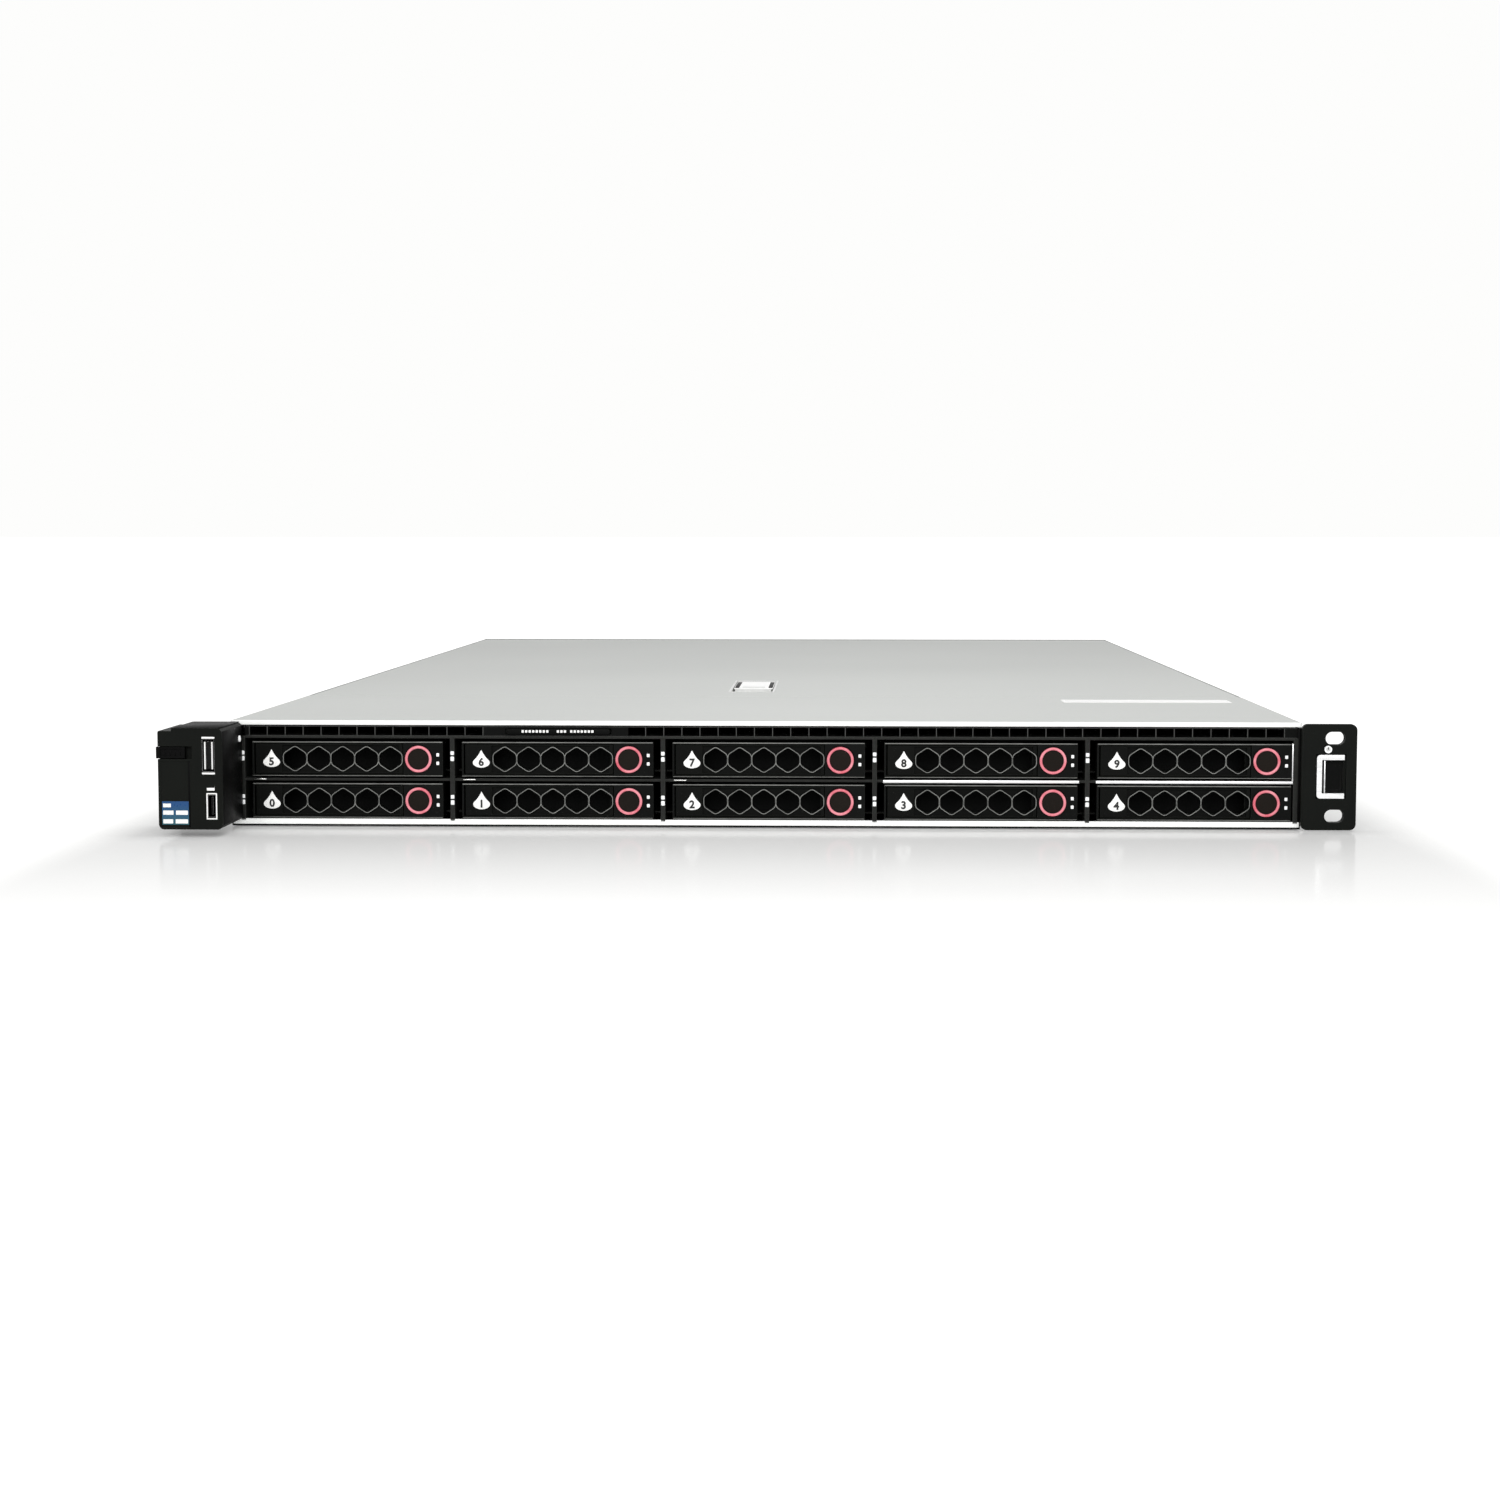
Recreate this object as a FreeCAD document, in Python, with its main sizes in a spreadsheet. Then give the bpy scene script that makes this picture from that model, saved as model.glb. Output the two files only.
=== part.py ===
import FreeCAD, Part
import os
import re
import Sketcher

# A 1U rack server, built from the outside in: folded tray, covers and ears, ten drives on
# sleds, fans, boards and two power supplies. +X is to the right of someone who faces the
# front, +Y runs back into the rack and +Z is up. The origin is under the middle of the base.

DIMENSIONS = {
    # the whole machine
    "rack_width": 482.6,
    "unit_height": 43.6,
    "total_depth": 845.0,
    "ear_reach": 37.0,
    "chassis_depth": 780.0,
    "chassis_width": 439.0,
    "sheet_gauge": 1.2,
    "play": 0.3,
    "wall_gap": 0.2,
    # front lips of the tray and the fixed cover
    "floor_lip": 2.3,
    "cover_lip": 1.8,
    "front_cover_depth": 160.0,
    # drive bays: two rows of five
    "bay_left": -210.8,
    "bay_pitch": 86.9,
    "row_low": 3.4,
    "row_pitch": 17.25,
    "post_width": 1.8,
    "post_proud": 0.3,
    "cage_depth": 122.0,
    "shelf_low": 18.7,
    "shelf_gauge": 1.0,
    "shelf_set_back": 1.0,
    "roof_low": 36.4,
    "roof_gauge": 0.8,
    "runner_gauge": 0.7,
    "runner_under": 3.6,
    "runner_set_back": 4.0,
    # drive sled
    "sled_width": 79.0,
    "sled_tall": 14.3,
    "sled_bezel": 8.0,
    "sled_rim": 0.8,
    "sled_pocket_left": 0.7,
    "sled_pocket_right": 62.7,
    "sled_pocket_deep": 5.0,
    "sled_window_left": 12.0,
    "sled_window_rim": 2.6,
    "sled_window_end": 2.0,
    "rail_gauge": 1.6,
    "rail_tall": 10.0,
    "rail_length": 112.0,
    "disk_width": 69.85,
    "disk_length": 100.2,
    "disk_tall": 15.0,
    "disk_front": 16.0,
    # drive lever with its honeycomb grille
    "lever_left": 1.4,
    "lever_right": 62.3,
    "lever_rim": 1.1,
    "lever_front": 0.2,
    "lever_gauge": 3.0,
    "lever_axis_across": 2.3,
    "lever_axis_deep": 1.2,
    "lever_pin_radius": 0.6,
    "lever_pin_gap": 0.1,
    "pin_play": 0.05,
    "grille_left": 12.2,
    "grille_right": 60.9,
    "grille_rim": 1.5,
    "grille_sink": 1.3,
    "cell_first": 17.7,
    "cell_pitch": 9.9,
    "cell_half": 4.69,
    "cell_point": 5.2,
    "cell_shoulder": 1.65,
    "cell_rib": 0.31,
    # ring button
    "button_across": 68.9,
    "button_radius": 5.6,
    "button_face_radius": 4.3,
    "button_dish": 0.4,
    "button_proud": 0.3,
    "button_deep": 3.0,
    "button_bore_deep": 4.6,
    # vent strip over the drives
    "vent_low": 37.2,
    "vent_deep": 3.0,
    "vent_set_back": 0.3,
    "vent_cell_low": 37.6,
    "vent_cell_tall": 3.5,
    "vent_cell_first": -211.7,
    "vent_cell_pitch": 7.45,
    "vent_rib": 0.5,
    "tag_left": -105.6,
    "tag_width": 43.1,
    "tag_low": 38.6,
    "tag_gauge": 1.5,
    "tag_length": 60.0,
    "tag_proud": 0.8,
    "tag_corner": 0.4,
    "tag_margin": 9.0,
    # removable cover and its latch
    "cover_gap": 0.6,
    "flange_tall": 5.5,
    "flange_set_back": 4.0,
    "flange_short": 20.0,
    "latch_left": -20.85,
    "latch_width": 20.0,
    "pan_front": 193.0,
    "pan_length": 90.0,
    "pan_deep": 7.0,
    "pan_wall": 1.0,
    "paddle_front": 218.0,
    "paddle_length": 62.0,
    "paddle_gauge": 2.8,
    "paddle_side_gap": 1.0,
    "paddle_under": 0.2,
    "paddle_axis": 276.0,
    "paddle_axis_under": 2.1,
    "paddle_pin_radius": 1.5,
    # ears
    "ear_inner": 219.5,
    "bracket_inset": 0.8,
    "rack_hole_across": 465.1,
    "rack_hole_apart": 31.75,
    "slot_length": 8.0,
    "slot_radius": 2.65,
    "bracket_gauge": 1.6,
    "bracket_leg": 45.0,
    "left_ear_inner": 214.7,
    "left_ear_outer": 240.5,
    "left_ear_low": 2.5,
    "left_ear_high": 43.2,
    "ear_corner": 2.2,
    "ear_wall": 1.8,
    "ear_face_wall": 5.0,
    "ear_step_wide": 5.5,
    "ear_step_tall": 1.2,
    "panel_left": 0.9,
    "panel_wide": 12.0,
    "panel_sunk": 0.4,
    "panel_low": 0.8,
    "panel_high_gap": 1.1,
    "catch_low": 31.0,
    "catch_tall": 4.6,
    "catch_length": 11.6,
    "catch_deep": 2.6,
    "catch_proud": 0.8,
    "catch_set_back": 0.4,
    "catch_rim": 0.8,
    "catch_dip": 0.6,
    "catch_travel": 3.0,
    "usb_across": -220.25,
    "usb_middle": 32.2,
    "usb_wide": 5.4,
    "usb_tall": 13.4,
    "service_port_across": -219.1,
    "service_port_middle": 11.9,
    "service_port_wide": 3.6,
    "service_port_tall": 9.4,
    "port_deep": 14.0,
    "port_wall": 0.35,
    "port_set_back": 0.3,
    "port_tongue_rim": 1.2,
    "usb_tongue": 1.9,
    "service_port_tongue": 0.8,
    "right_ear_gauge": 2.8,
    "right_ear_rim": 0.2,
    "right_ear_lap": 0.4,
    "right_ear_corner": 2.5,
    "bail_left": 225.1,
    "bail_right": 236.2,
    "bail_low": 13.2,
    "bail_tall": 17.8,
    "bail_bar": 2.1,
    "bail_gauge": 1.8,
    "bail_proud": 0.8,
    "bail_corner": 1.5,
    "bail_seat_gap": 0.7,
    "recess_inset": 3.0,
    "power_across": 229.6,
    "power_middle": 33.2,
    "power_radius": 1.5,
    "power_proud": 0.5,
    "power_length": 2.4,
    # inside
    "backplane_front": 127.0,
    "backplane_gauge": 2.0,
    "backplane_width": 428.0,
    "backplane_low": 2.2,
    "backplane_tall": 34.0,
    "backplane_window_inset": 20.0,
    "backplane_window_wide": 46.0,
    "backplane_window_tall": 5.0,
    "backplane_window_low": 15.5,
    "backplane_window_high": 28.0,
    "fan_front": 302.0,
    "fan_depth": 56.0,
    "fan_width": 62.0,
    "fan_tall": 40.0,
    "fan_pitch": 86.0,
    "fan_bore": 19.0,
    "motor_gauge": 6.0,
    "motor_back_gap": 2.0,
    "spoke_width": 3.0,
    "spoke_gauge": 4.0,
    "spoke_root": 0.5,
    "rotor_radius": 18.2,
    "hub_radius": 9.0,
    "rotor_depth": 26.0,
    "rotor_set_back": 12.0,
    "blade_gauge": 1.2,
    "blade_length": 24.0,
    "blade_past": 2.0,
    "board_front": 372.0,
    "board_low": 8.0,
    "board_gauge": 1.6,
    "board_width": 426.0,
    "board_wide_length": 213.0,
    "board_narrow_width": 273.0,
    "board_length": 398.0,
    "board_post_radius": 3.0,
    "socket_front": 400.0,
    "sink_width": 78.0,
    "sink_length": 108.0,
    "sink_base": 4.0,
    "sink_tall": 26.0,
    "sink_pitch": 3.9,
    "sink_fin": 0.8,
    "sink_middle": 107.0,
    "dimm_front": 14.0,
    "dimm_length": 133.35,
    "dimm_tall": 30.0,
    "dimm_gauge": 3.8,
    "dimm_pitch": 7.6,
    # power supplies
    "psu_left": 66.0,
    "psu_play": 0.4,
    "psu_pitch": 75.4,
    "psu_width": 73.5,
    "psu_tall": 39.6,
    "psu_length": 185.0,
    "inlet_left": 6.0,
    "inlet_low": 11.5,
    "inlet_wide": 24.0,
    "inlet_tall": 16.5,
    "inlet_deep": 16.0,
    "grip_left": 33.0,
    "grip_gauge": 3.0,
    "grip_low": 4.0,
    "grip_bar": 5.0,
    "grip_corner": 0.8,
    "psu_fan_across": 53.0,
    "psu_fan_radius": 14.5,
    "psu_fan_deep": 5.0,
    "psu_hub_radius": 6.0,
    "psu_hub_sunk": 1.5,
    "psu_latch_left": 69.0,
    "psu_latch_gauge": 3.4,
    "psu_latch_stem": 2.0,
    "psu_latch_tall": 20.0,
    "psu_latch_reach": 14.0,
    "psu_thumb_deep": 3.6,
    "psu_thumb_lap": 3.0,
    # rear ports
    "port_low": 9.8,
    "port_mouth_low": 2.0,
    "network_left": -165.0,
    "network_pitch": 18.0,
    "network_wide": 16.0,
    "network_tall": 13.5,
    "network_deep": 16.0,
    "network_mouth_wide": 11.7,
    "network_mouth_tall": 8.5,
    "network_mouth_deep": 13.0,
    "display_left": -203.0,
    "display_wide": 31.0,
    "display_tall": 12.5,
    "display_deep": 12.0,
    "display_back": 1.0,
    "display_shell_inset": 7.0,
    "display_shell_rim": 2.0,
    "display_shell_deep": 5.5,
    "stack_left": -108.0,
    "stack_wide": 13.4,
    "stack_tall": 15.6,
    "stack_deep": 14.0,
    "stack_wall": 0.6,
    "stack_mouth_deep": 12.0,
    "stack_mouth_tall": 5.0,
    "stack_mouth_low": 1.4,
    "stack_mouth_high": 9.0,
    # air slots in the rear wall
    "vent_left": -82.0,
    "vent_pitch": 4.6,
    "vent_wide": 2.4,
    "vent_tall": 12.0,
    "vent_row_low": 7.0,
    "vent_row_high": 24.0,
    # side studs for slide rails and screws
    "stud_radius": 2.5,
    "stud_reach": 2.0,
    "stud_head_radius": 4.0,
    "stud_head_gauge": 0.8,
    "stud_middle": 21.8,
    "stud_first": 120.0,
    "stud_pitch": 250.0,
    "screw_head_radius": 2.6,
    "screw_head_gauge": 0.9,
    "screw_first": 14.0,
    "screw_apart": 20.0,
    "screw_low": 10.0,
    "screw_high": 33.0,
}

COLUMNS = 5
ROWS = 2
FANS = 5
CELLS = 5
VENT_CELLS = 57
SINK_FINS = 20
STICKS = 7
BLADES = 7
BLADE_TURN = 38
REAR_VENTS = 30
STUDS = 3
NETWORK_JACKS = 3

# where the memory banks start across the board, and where its posts stand: across, then
# back from the board's front edge
MEMORY_BANKS = (-206, -62, 8, 152)
BOARD_POSTS = ((-200, 12), (0, 12), (200, 12), (-200, 200), (0, 200), (200, 200), (-200, 380), (50, 380))

FRONT = "(ear_reach - total_depth / 2)"
REAR = f"({FRONT} + chassis_depth)"
HALF = "(chassis_width / 2)"
COVER_LOW = "(unit_height - sheet_gauge)"
WALL_TOP = f"({COVER_LOW} - wall_gap)"
SLED_MIDDLE = "(sled_tall / 2)"
RACK_SLOT_LOW = "((unit_height - rack_hole_apart) / 2)"

ALONG = {
    "x": FreeCAD.Rotation(FreeCAD.Vector(0, 1, 0), 90),
    "y": FreeCAD.Rotation(FreeCAD.Vector(1, 0, 0), -90),
    "z": FreeCAD.Rotation(),
}
WORD = re.compile(r"[a-z][a-z_0-9]*")

doc = FreeCAD.newDocument("rack_server")
nodes = {}


def make_sheet():
    """The driving dimensions, one cell each."""
    sheet = doc.addObject("Spreadsheet::Sheet", "dims")
    for row, (name, value) in enumerate(DIMENSIONS.items(), start=1):
        sheet.set(f"A{row}", name)
        sheet.set(f"B{row}", str(value))
        sheet.setAlias(f"B{row}", name)
    doc.recompute()
    return sheet


def bind(item, prop, formula):
    """Ties a property to a formula written in the sheet's names."""
    text = WORD.sub(lambda word: "dims." * (word.group() in DIMENSIONS) + word.group(), str(formula))
    item.setExpression(prop, text)


def put(item, low):
    """Ties an object's place to three formulas."""
    for side, formula in zip("xyz", low):
        bind(item, f"Placement.Base.{side}", formula)


def block(name, low, size):
    """A block from its low corner and its size."""
    box = doc.addObject("Part::Box", name)
    put(box, low)
    for prop, formula in zip(("Length", "Width", "Height"), size):
        bind(box, prop, formula)
    return box


def rod(name, start, radius, length, way):
    """A round bar from the centre of its low end, along x, y or z."""
    bar = doc.addObject("Part::Cylinder", name)
    bar.Placement.Rotation = ALONG[way]
    put(bar, start)
    bind(bar, "Radius", radius)
    bind(bar, "Height", length)
    return bar


def rounded(name, low, size, radius, way):
    """A block whose four edges along one axis are rounded."""
    box = block(f"{name}_stock", low, size)
    doc.recompute()
    index = "xyz".index(way)
    edges = []
    for number, edge in enumerate(box.Shape.Edges, start=1):
        run = edge.Vertexes[1].Point - edge.Vertexes[0].Point
        if abs(run[index]) > 1e-6:
            edges.append((number, radius, radius))
    fillet = doc.addObject("Part::Fillet", name)
    fillet.Base = box
    fillet.Edges = edges
    return fillet


def slot_cutter(name, across, middle, start, length):
    """A slot with round ends, lying along x and cut along y."""
    half = "(slot_length / 2 - slot_radius)"
    low = (f"{across} - {half}", start, f"{middle} - slot_radius")
    flat = block(f"{name}_flat", low, (f"2 * {half}", length, "2 * slot_radius"))
    ends = [
        rod(f"{name}_end", (f"{across} + {sign} * {half}", start, middle), "slot_radius", length, "y")
        for sign in (-1, 1)
    ]
    return fuse(name, [flat, *ends])


def close_outline(outline, corners, guess):
    """Draws a closed outline of straight lines, its corners tied to formulas.

    The guess is the rough shape in small whole numbers, which gives the solver its start.
    """
    count = len(corners)
    for index in range(count):
        ends = [FreeCAD.Vector(*guess[step % count], 0) for step in (index, index + 1)]
        outline.addGeometry(Part.LineSegment(*ends), False)
    for index in range(count):
        outline.addConstraint(Sketcher.Constraint("Coincident", index, 2, (index + 1) % count, 1))
    for index, place in enumerate(corners):
        for kind, formula in zip(("DistanceX", "DistanceY"), place):
            number = outline.addConstraint(Sketcher.Constraint(kind, -1, 1, index, 1, 5.0))
            bind(outline, f"Constraints[{number}]", formula)


def fuse(name, parts):
    """One solid out of several that touch or overlap."""
    joined = doc.addObject("Part::MultiFuse", name)
    joined.Shapes = parts
    joined.Refine = True
    return joined


def group(name, parts):
    """Separate solids kept together."""
    bundle = doc.addObject("Part::Compound", name)
    bundle.Links = parts
    return bundle


def cut(name, base, tools):
    """A solid less one or more cutters."""
    less = doc.addObject("Part::Cut", name)
    less.Base = base
    less.Tool = tools[0] if len(tools) == 1 else fuse(f"{name}_cutters", tools)
    less.Refine = True
    return less


def name_node(node, item):
    """Gives a finished sub-part its name and marks it for export."""
    item.Label = node
    nodes[node] = item


def copy_node(node, master, low):
    """A sub-part that repeats a master at its own place."""
    copy = group(node, [master])
    put(copy, low)
    name_node(node, copy)


def dimension(name):
    """One of the sheet's numbers."""
    return sheet.get(name)


def rear_wall():
    """The rear wall as flat strips: a post before and after each port, a sill and a header."""
    back_face = f"({REAR} - 2 * sheet_gauge)"
    inner = f"({HALF} - sheet_gauge)"
    ports = [("display_left", "display_wide", "display_tall")]
    for index in range(NETWORK_JACKS):
        ports.append((f"network_left + {index} * network_pitch", "network_wide", "network_tall"))
    ports.append(("stack_left", "stack_wide", "stack_tall"))

    def strip(left, right, low, high):
        """One flat piece of the wall between two sides and two heights."""
        size = (f"{right} - ({left})", "sheet_gauge", f"{high} - ({low})")
        return block("wall_strip", (left, back_face, low), size)

    strips = []
    edge = f"-{inner}"
    for left, wide, tall in ports:
        near = f"({left} - play)"
        far = f"({left} + {wide} + play)"
        strips.append(strip(edge, near, "sheet_gauge", WALL_TOP))
        strips.append(strip(near, far, "sheet_gauge", "(port_low - play)"))
        strips.append(strip(near, far, f"(port_low + {tall} + play)", WALL_TOP))
        edge = far
    vented = strip(edge, "psu_left - psu_play", "sheet_gauge", WALL_TOP)
    vents = [
        block("rear_vent", (f"vent_left + {index} * vent_pitch", back_face, row_low),
              ("vent_wide", "sheet_gauge", "vent_tall"))
        for row_low in ("vent_row_low", "vent_row_high") for index in range(REAR_VENTS)
    ]
    strips.append(cut("vented_panel", vented, vents))
    strips.append(
        strip("psu_left + psu_pitch + psu_width + psu_play", inner, "sheet_gauge", WALL_TOP)
    )
    return strips


def chassis_tray():
    """The folded steel tray: floor, front lip and sides in one, and the rear wall."""
    floor = block("floor", (f"-{HALF}", FRONT, 0), ("chassis_width", "chassis_depth", "sheet_gauge"))
    lip = block("floor_front", (f"-{HALF}", FRONT, 0), ("chassis_width", "sheet_gauge", "floor_lip"))
    walls = [
        block("side", (left, FRONT, 0), ("sheet_gauge", "chassis_depth", WALL_TOP))
        for left in (f"-{HALF}", f"{HALF} - sheet_gauge")
    ]
    shell = fuse("tray_shell", [floor, lip, *walls])
    name_node("chassis_tray", group("chassis_tray", [shell, *rear_wall()]))


def drive_cage():
    """Upright posts, a shelf between the rows, a roof, and runners for the sleds."""
    parts = []
    post_first = "(bay_left - (bay_pitch - sled_width) / 2)"
    inner = f"({HALF} - sheet_gauge)"
    for low, gauge, set_back in (
        ("shelf_low", "shelf_gauge", "shelf_set_back"), ("roof_low", "roof_gauge", 0),
    ):
        parts.append(
            block("cage_deck", (f"-{inner}", f"{FRONT} + {set_back}", low),
                  (f"2 * {inner}", f"cage_depth - {set_back}", gauge))
        )
    for post in range(COLUMNS + 1):
        left = f"{post_first} + {post} * bay_pitch - post_width / 2"
        if post == COLUMNS:
            left = f"{inner} - post_width"
        parts.append(
            block("cage_post", (left, f"{FRONT} - post_proud", "sheet_gauge"),
                  ("post_width", "cage_depth + post_proud", "roof_low + roof_gauge - sheet_gauge"))
        )
    for column in range(COLUMNS):
        for row in range(ROWS):
            low = f"row_low + {row} * row_pitch + (sled_tall - rail_tall) / 2 - runner_gauge - play"
            sled_left = f"bay_left + {column} * bay_pitch"
            gap = "((bay_pitch - sled_width - post_width) / 2)"
            right_end = f"{inner} - ({sled_left} + sled_width)" if column == COLUMNS - 1 else gap
            for start, reach in (
                (f"{sled_left} - {gap}", gap),
                (f"{sled_left} + sled_width - runner_under", right_end),
            ):
                parts.append(
                    block("runner", (start, f"{FRONT} + sled_bezel + runner_set_back", low),
                          (f"{reach} + runner_under", "cage_depth - sled_bezel - runner_set_back",
                           "runner_gauge"))
                )
    relief = block("lip_clearance", (f"-{HALF}", f"{FRONT} - 1", 0),
                   ("chassis_width", "sheet_gauge + 1", "floor_lip"))
    name_node("drive_cage", cut("drive_cage", fuse("cage_frame", parts), [relief]))


def drive_sled():
    """A sled with its bezel and rails, and the disk that it carries."""
    bezel = block("bezel", (0, 0, 0), ("sled_width", "sled_bezel", "sled_tall"))
    pocket = block("lever_pocket", ("sled_pocket_left", 0, "sled_rim"),
                   ("sled_pocket_right - sled_pocket_left", "sled_pocket_deep", "sled_tall - 2 * sled_rim"))
    window = block("air_window", ("sled_window_left", 0, "sled_window_rim"),
                   ("sled_pocket_right - sled_window_left - sled_window_end", "sled_bezel",
                    "sled_tall - 2 * sled_window_rim"))
    bore = rod("button_bore", ("button_across", 0, SLED_MIDDLE), "button_radius + play",
               "button_bore_deep", "y")
    pin_hole = rod("pin_hole", ("lever_axis_across", "lever_axis_deep", "sled_rim / 2"),
                   "lever_pin_radius + pin_play", "sled_tall - sled_rim", "z")
    face = cut("bezel_face", bezel, [pocket, window, bore, pin_hole])
    rail_low = "(sled_tall - rail_tall) / 2"
    disk_left = "((sled_width - disk_width) / 2)"
    rails = [
        block("rail", (left, "sled_bezel", rail_low), ("rail_gauge", "rail_length", "rail_tall"))
        for left in (f"{disk_left} - rail_gauge", f"{disk_left} + disk_width")
    ]
    disk = block("disk", (disk_left, "disk_front", "(sled_tall - disk_tall) / 2"),
                 ("disk_width", "disk_length", "disk_tall"))
    return group("drive_sled", [fuse("sled", [face, *rails]), disk])


def honeycomb(name, wall):
    """A row of tall hexagonal bars, each larger than an opening by a wall all round."""
    half = f"(cell_half + {wall})"
    point = f"(cell_point + 1.25 * {wall})"
    shoulder = f"(cell_shoulder + {wall} / 2)"
    outline = doc.addObject("Sketcher::SketchObject", f"{name}_outline")
    corners = [
        ("0", f"-{point}"), (half, f"-{shoulder}"), (half, shoulder),
        ("0", point), (f"-{half}", shoulder), (f"-{half}", f"-{shoulder}"),
    ]
    close_outline(outline, corners, [(0, -5), (4, -2), (4, 2), (0, 5), (-4, 2), (-4, -2)])
    bar = doc.addObject("Part::Extrusion", name)
    bar.Base = outline
    bar.DirMode = "Custom"
    bar.Dir = FreeCAD.Vector(0, 0, 1)
    bar.Solid = True
    bind(bar, "LengthFwd", "lever_gauge")
    bar.Placement.Rotation = ALONG["y"]
    cells = []
    for index in range(CELLS):
        cell = group(f"{name}_cell", [bar])
        put(cell, (f"cell_first + {index} * cell_pitch", "lever_front", SLED_MIDDLE))
        cells.append(cell)
    return cells


def drive_lever():
    """The lever that covers the sled's face: a plate with a sunk honeycomb and a hinge pin."""
    tall = "(sled_tall - 2 * lever_rim)"
    plate = block("lever_plate", ("lever_left", "lever_front", "lever_rim"),
                  ("lever_right - lever_left", "lever_gauge", tall))
    sink = block("grille_sink", ("grille_left", "lever_front", "grille_rim"),
                 ("grille_right - grille_left", "grille_sink", "sled_tall - 2 * grille_rim"))
    pin = rod("lever_pin", ("lever_axis_across", "lever_axis_deep", "sled_rim / 2 + lever_pin_gap"),
              "lever_pin_radius", "sled_tall - sled_rim - 2 * lever_pin_gap", "z")
    ribs = honeycomb("rib", "cell_rib")
    whole = fuse("lever_ribs", [cut("lever_sunk", plate, [sink]), pin, *ribs])
    return cut("drive_lever", whole, honeycomb("opening", "0"))


def drive_button():
    """A round push button with a raised ring and a dished face."""
    body = rod("button_body", ("button_across", "-button_proud", SLED_MIDDLE), "button_radius",
               "button_deep + button_proud", "y")
    dish = rod("button_face", ("button_across", "-button_proud", SLED_MIDDLE), "button_face_radius",
               "button_dish", "y")
    return cut("drive_button", body, [dish])


def drives():
    """Ten sleds, levers and buttons, numbered along the rows from the lower left."""
    masters = {
        "drive_carrier": drive_sled(),
        "drive_lever": drive_lever(),
        "drive_button": drive_button(),
    }
    for bay in range(COLUMNS * ROWS):
        row, column = divmod(bay, COLUMNS)
        low = (f"bay_left + {column} * bay_pitch", FRONT, f"row_low + {row} * row_pitch")
        for name, master in masters.items():
            copy_node(f"{name}_{bay}", master, low)


def vent_strip():
    """The black strip over the drives, with a row of openings and a slot for the tag."""
    left = "(bay_left - (bay_pitch - sled_width) / 2 + post_width / 2)"
    wide = f"({HALF} - sheet_gauge - {left})"
    start = f"{FRONT} + vent_set_back"
    bar = block("vent_bar", (left, start, "vent_low"),
                (wide, "vent_deep", "unit_height - cover_lip - vent_low"))
    cutters = []
    margin = dimension("tag_margin")
    for index in range(VENT_CELLS):
        middle = dimension("vent_cell_first") + (index + 0.5) * dimension("vent_cell_pitch")
        over_tag = -margin < middle - dimension("tag_left") < dimension("tag_width") + margin
        if not over_tag:
            cutters.append(
                block("vent_cell", (f"vent_cell_first + {index} * vent_cell_pitch", start,
                                    "vent_cell_low"),
                      ("vent_cell_pitch - vent_rib", "vent_deep", "vent_cell_tall"))
            )
    cutters.append(
        block("tag_slot", ("tag_left - play", start, "tag_low - play"),
              ("tag_width + 2 * play", "vent_deep", "tag_gauge + 2 * play"))
    )
    name_node("vent_strip", cut("vent_strip", bar, cutters))
    tag = rounded("info_tag", ("tag_left", f"{FRONT} - tag_proud", "tag_low"),
                  ("tag_width", "tag_length", "tag_gauge"), dimension("tag_corner"), "y")
    name_node("info_tag", tag)


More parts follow.
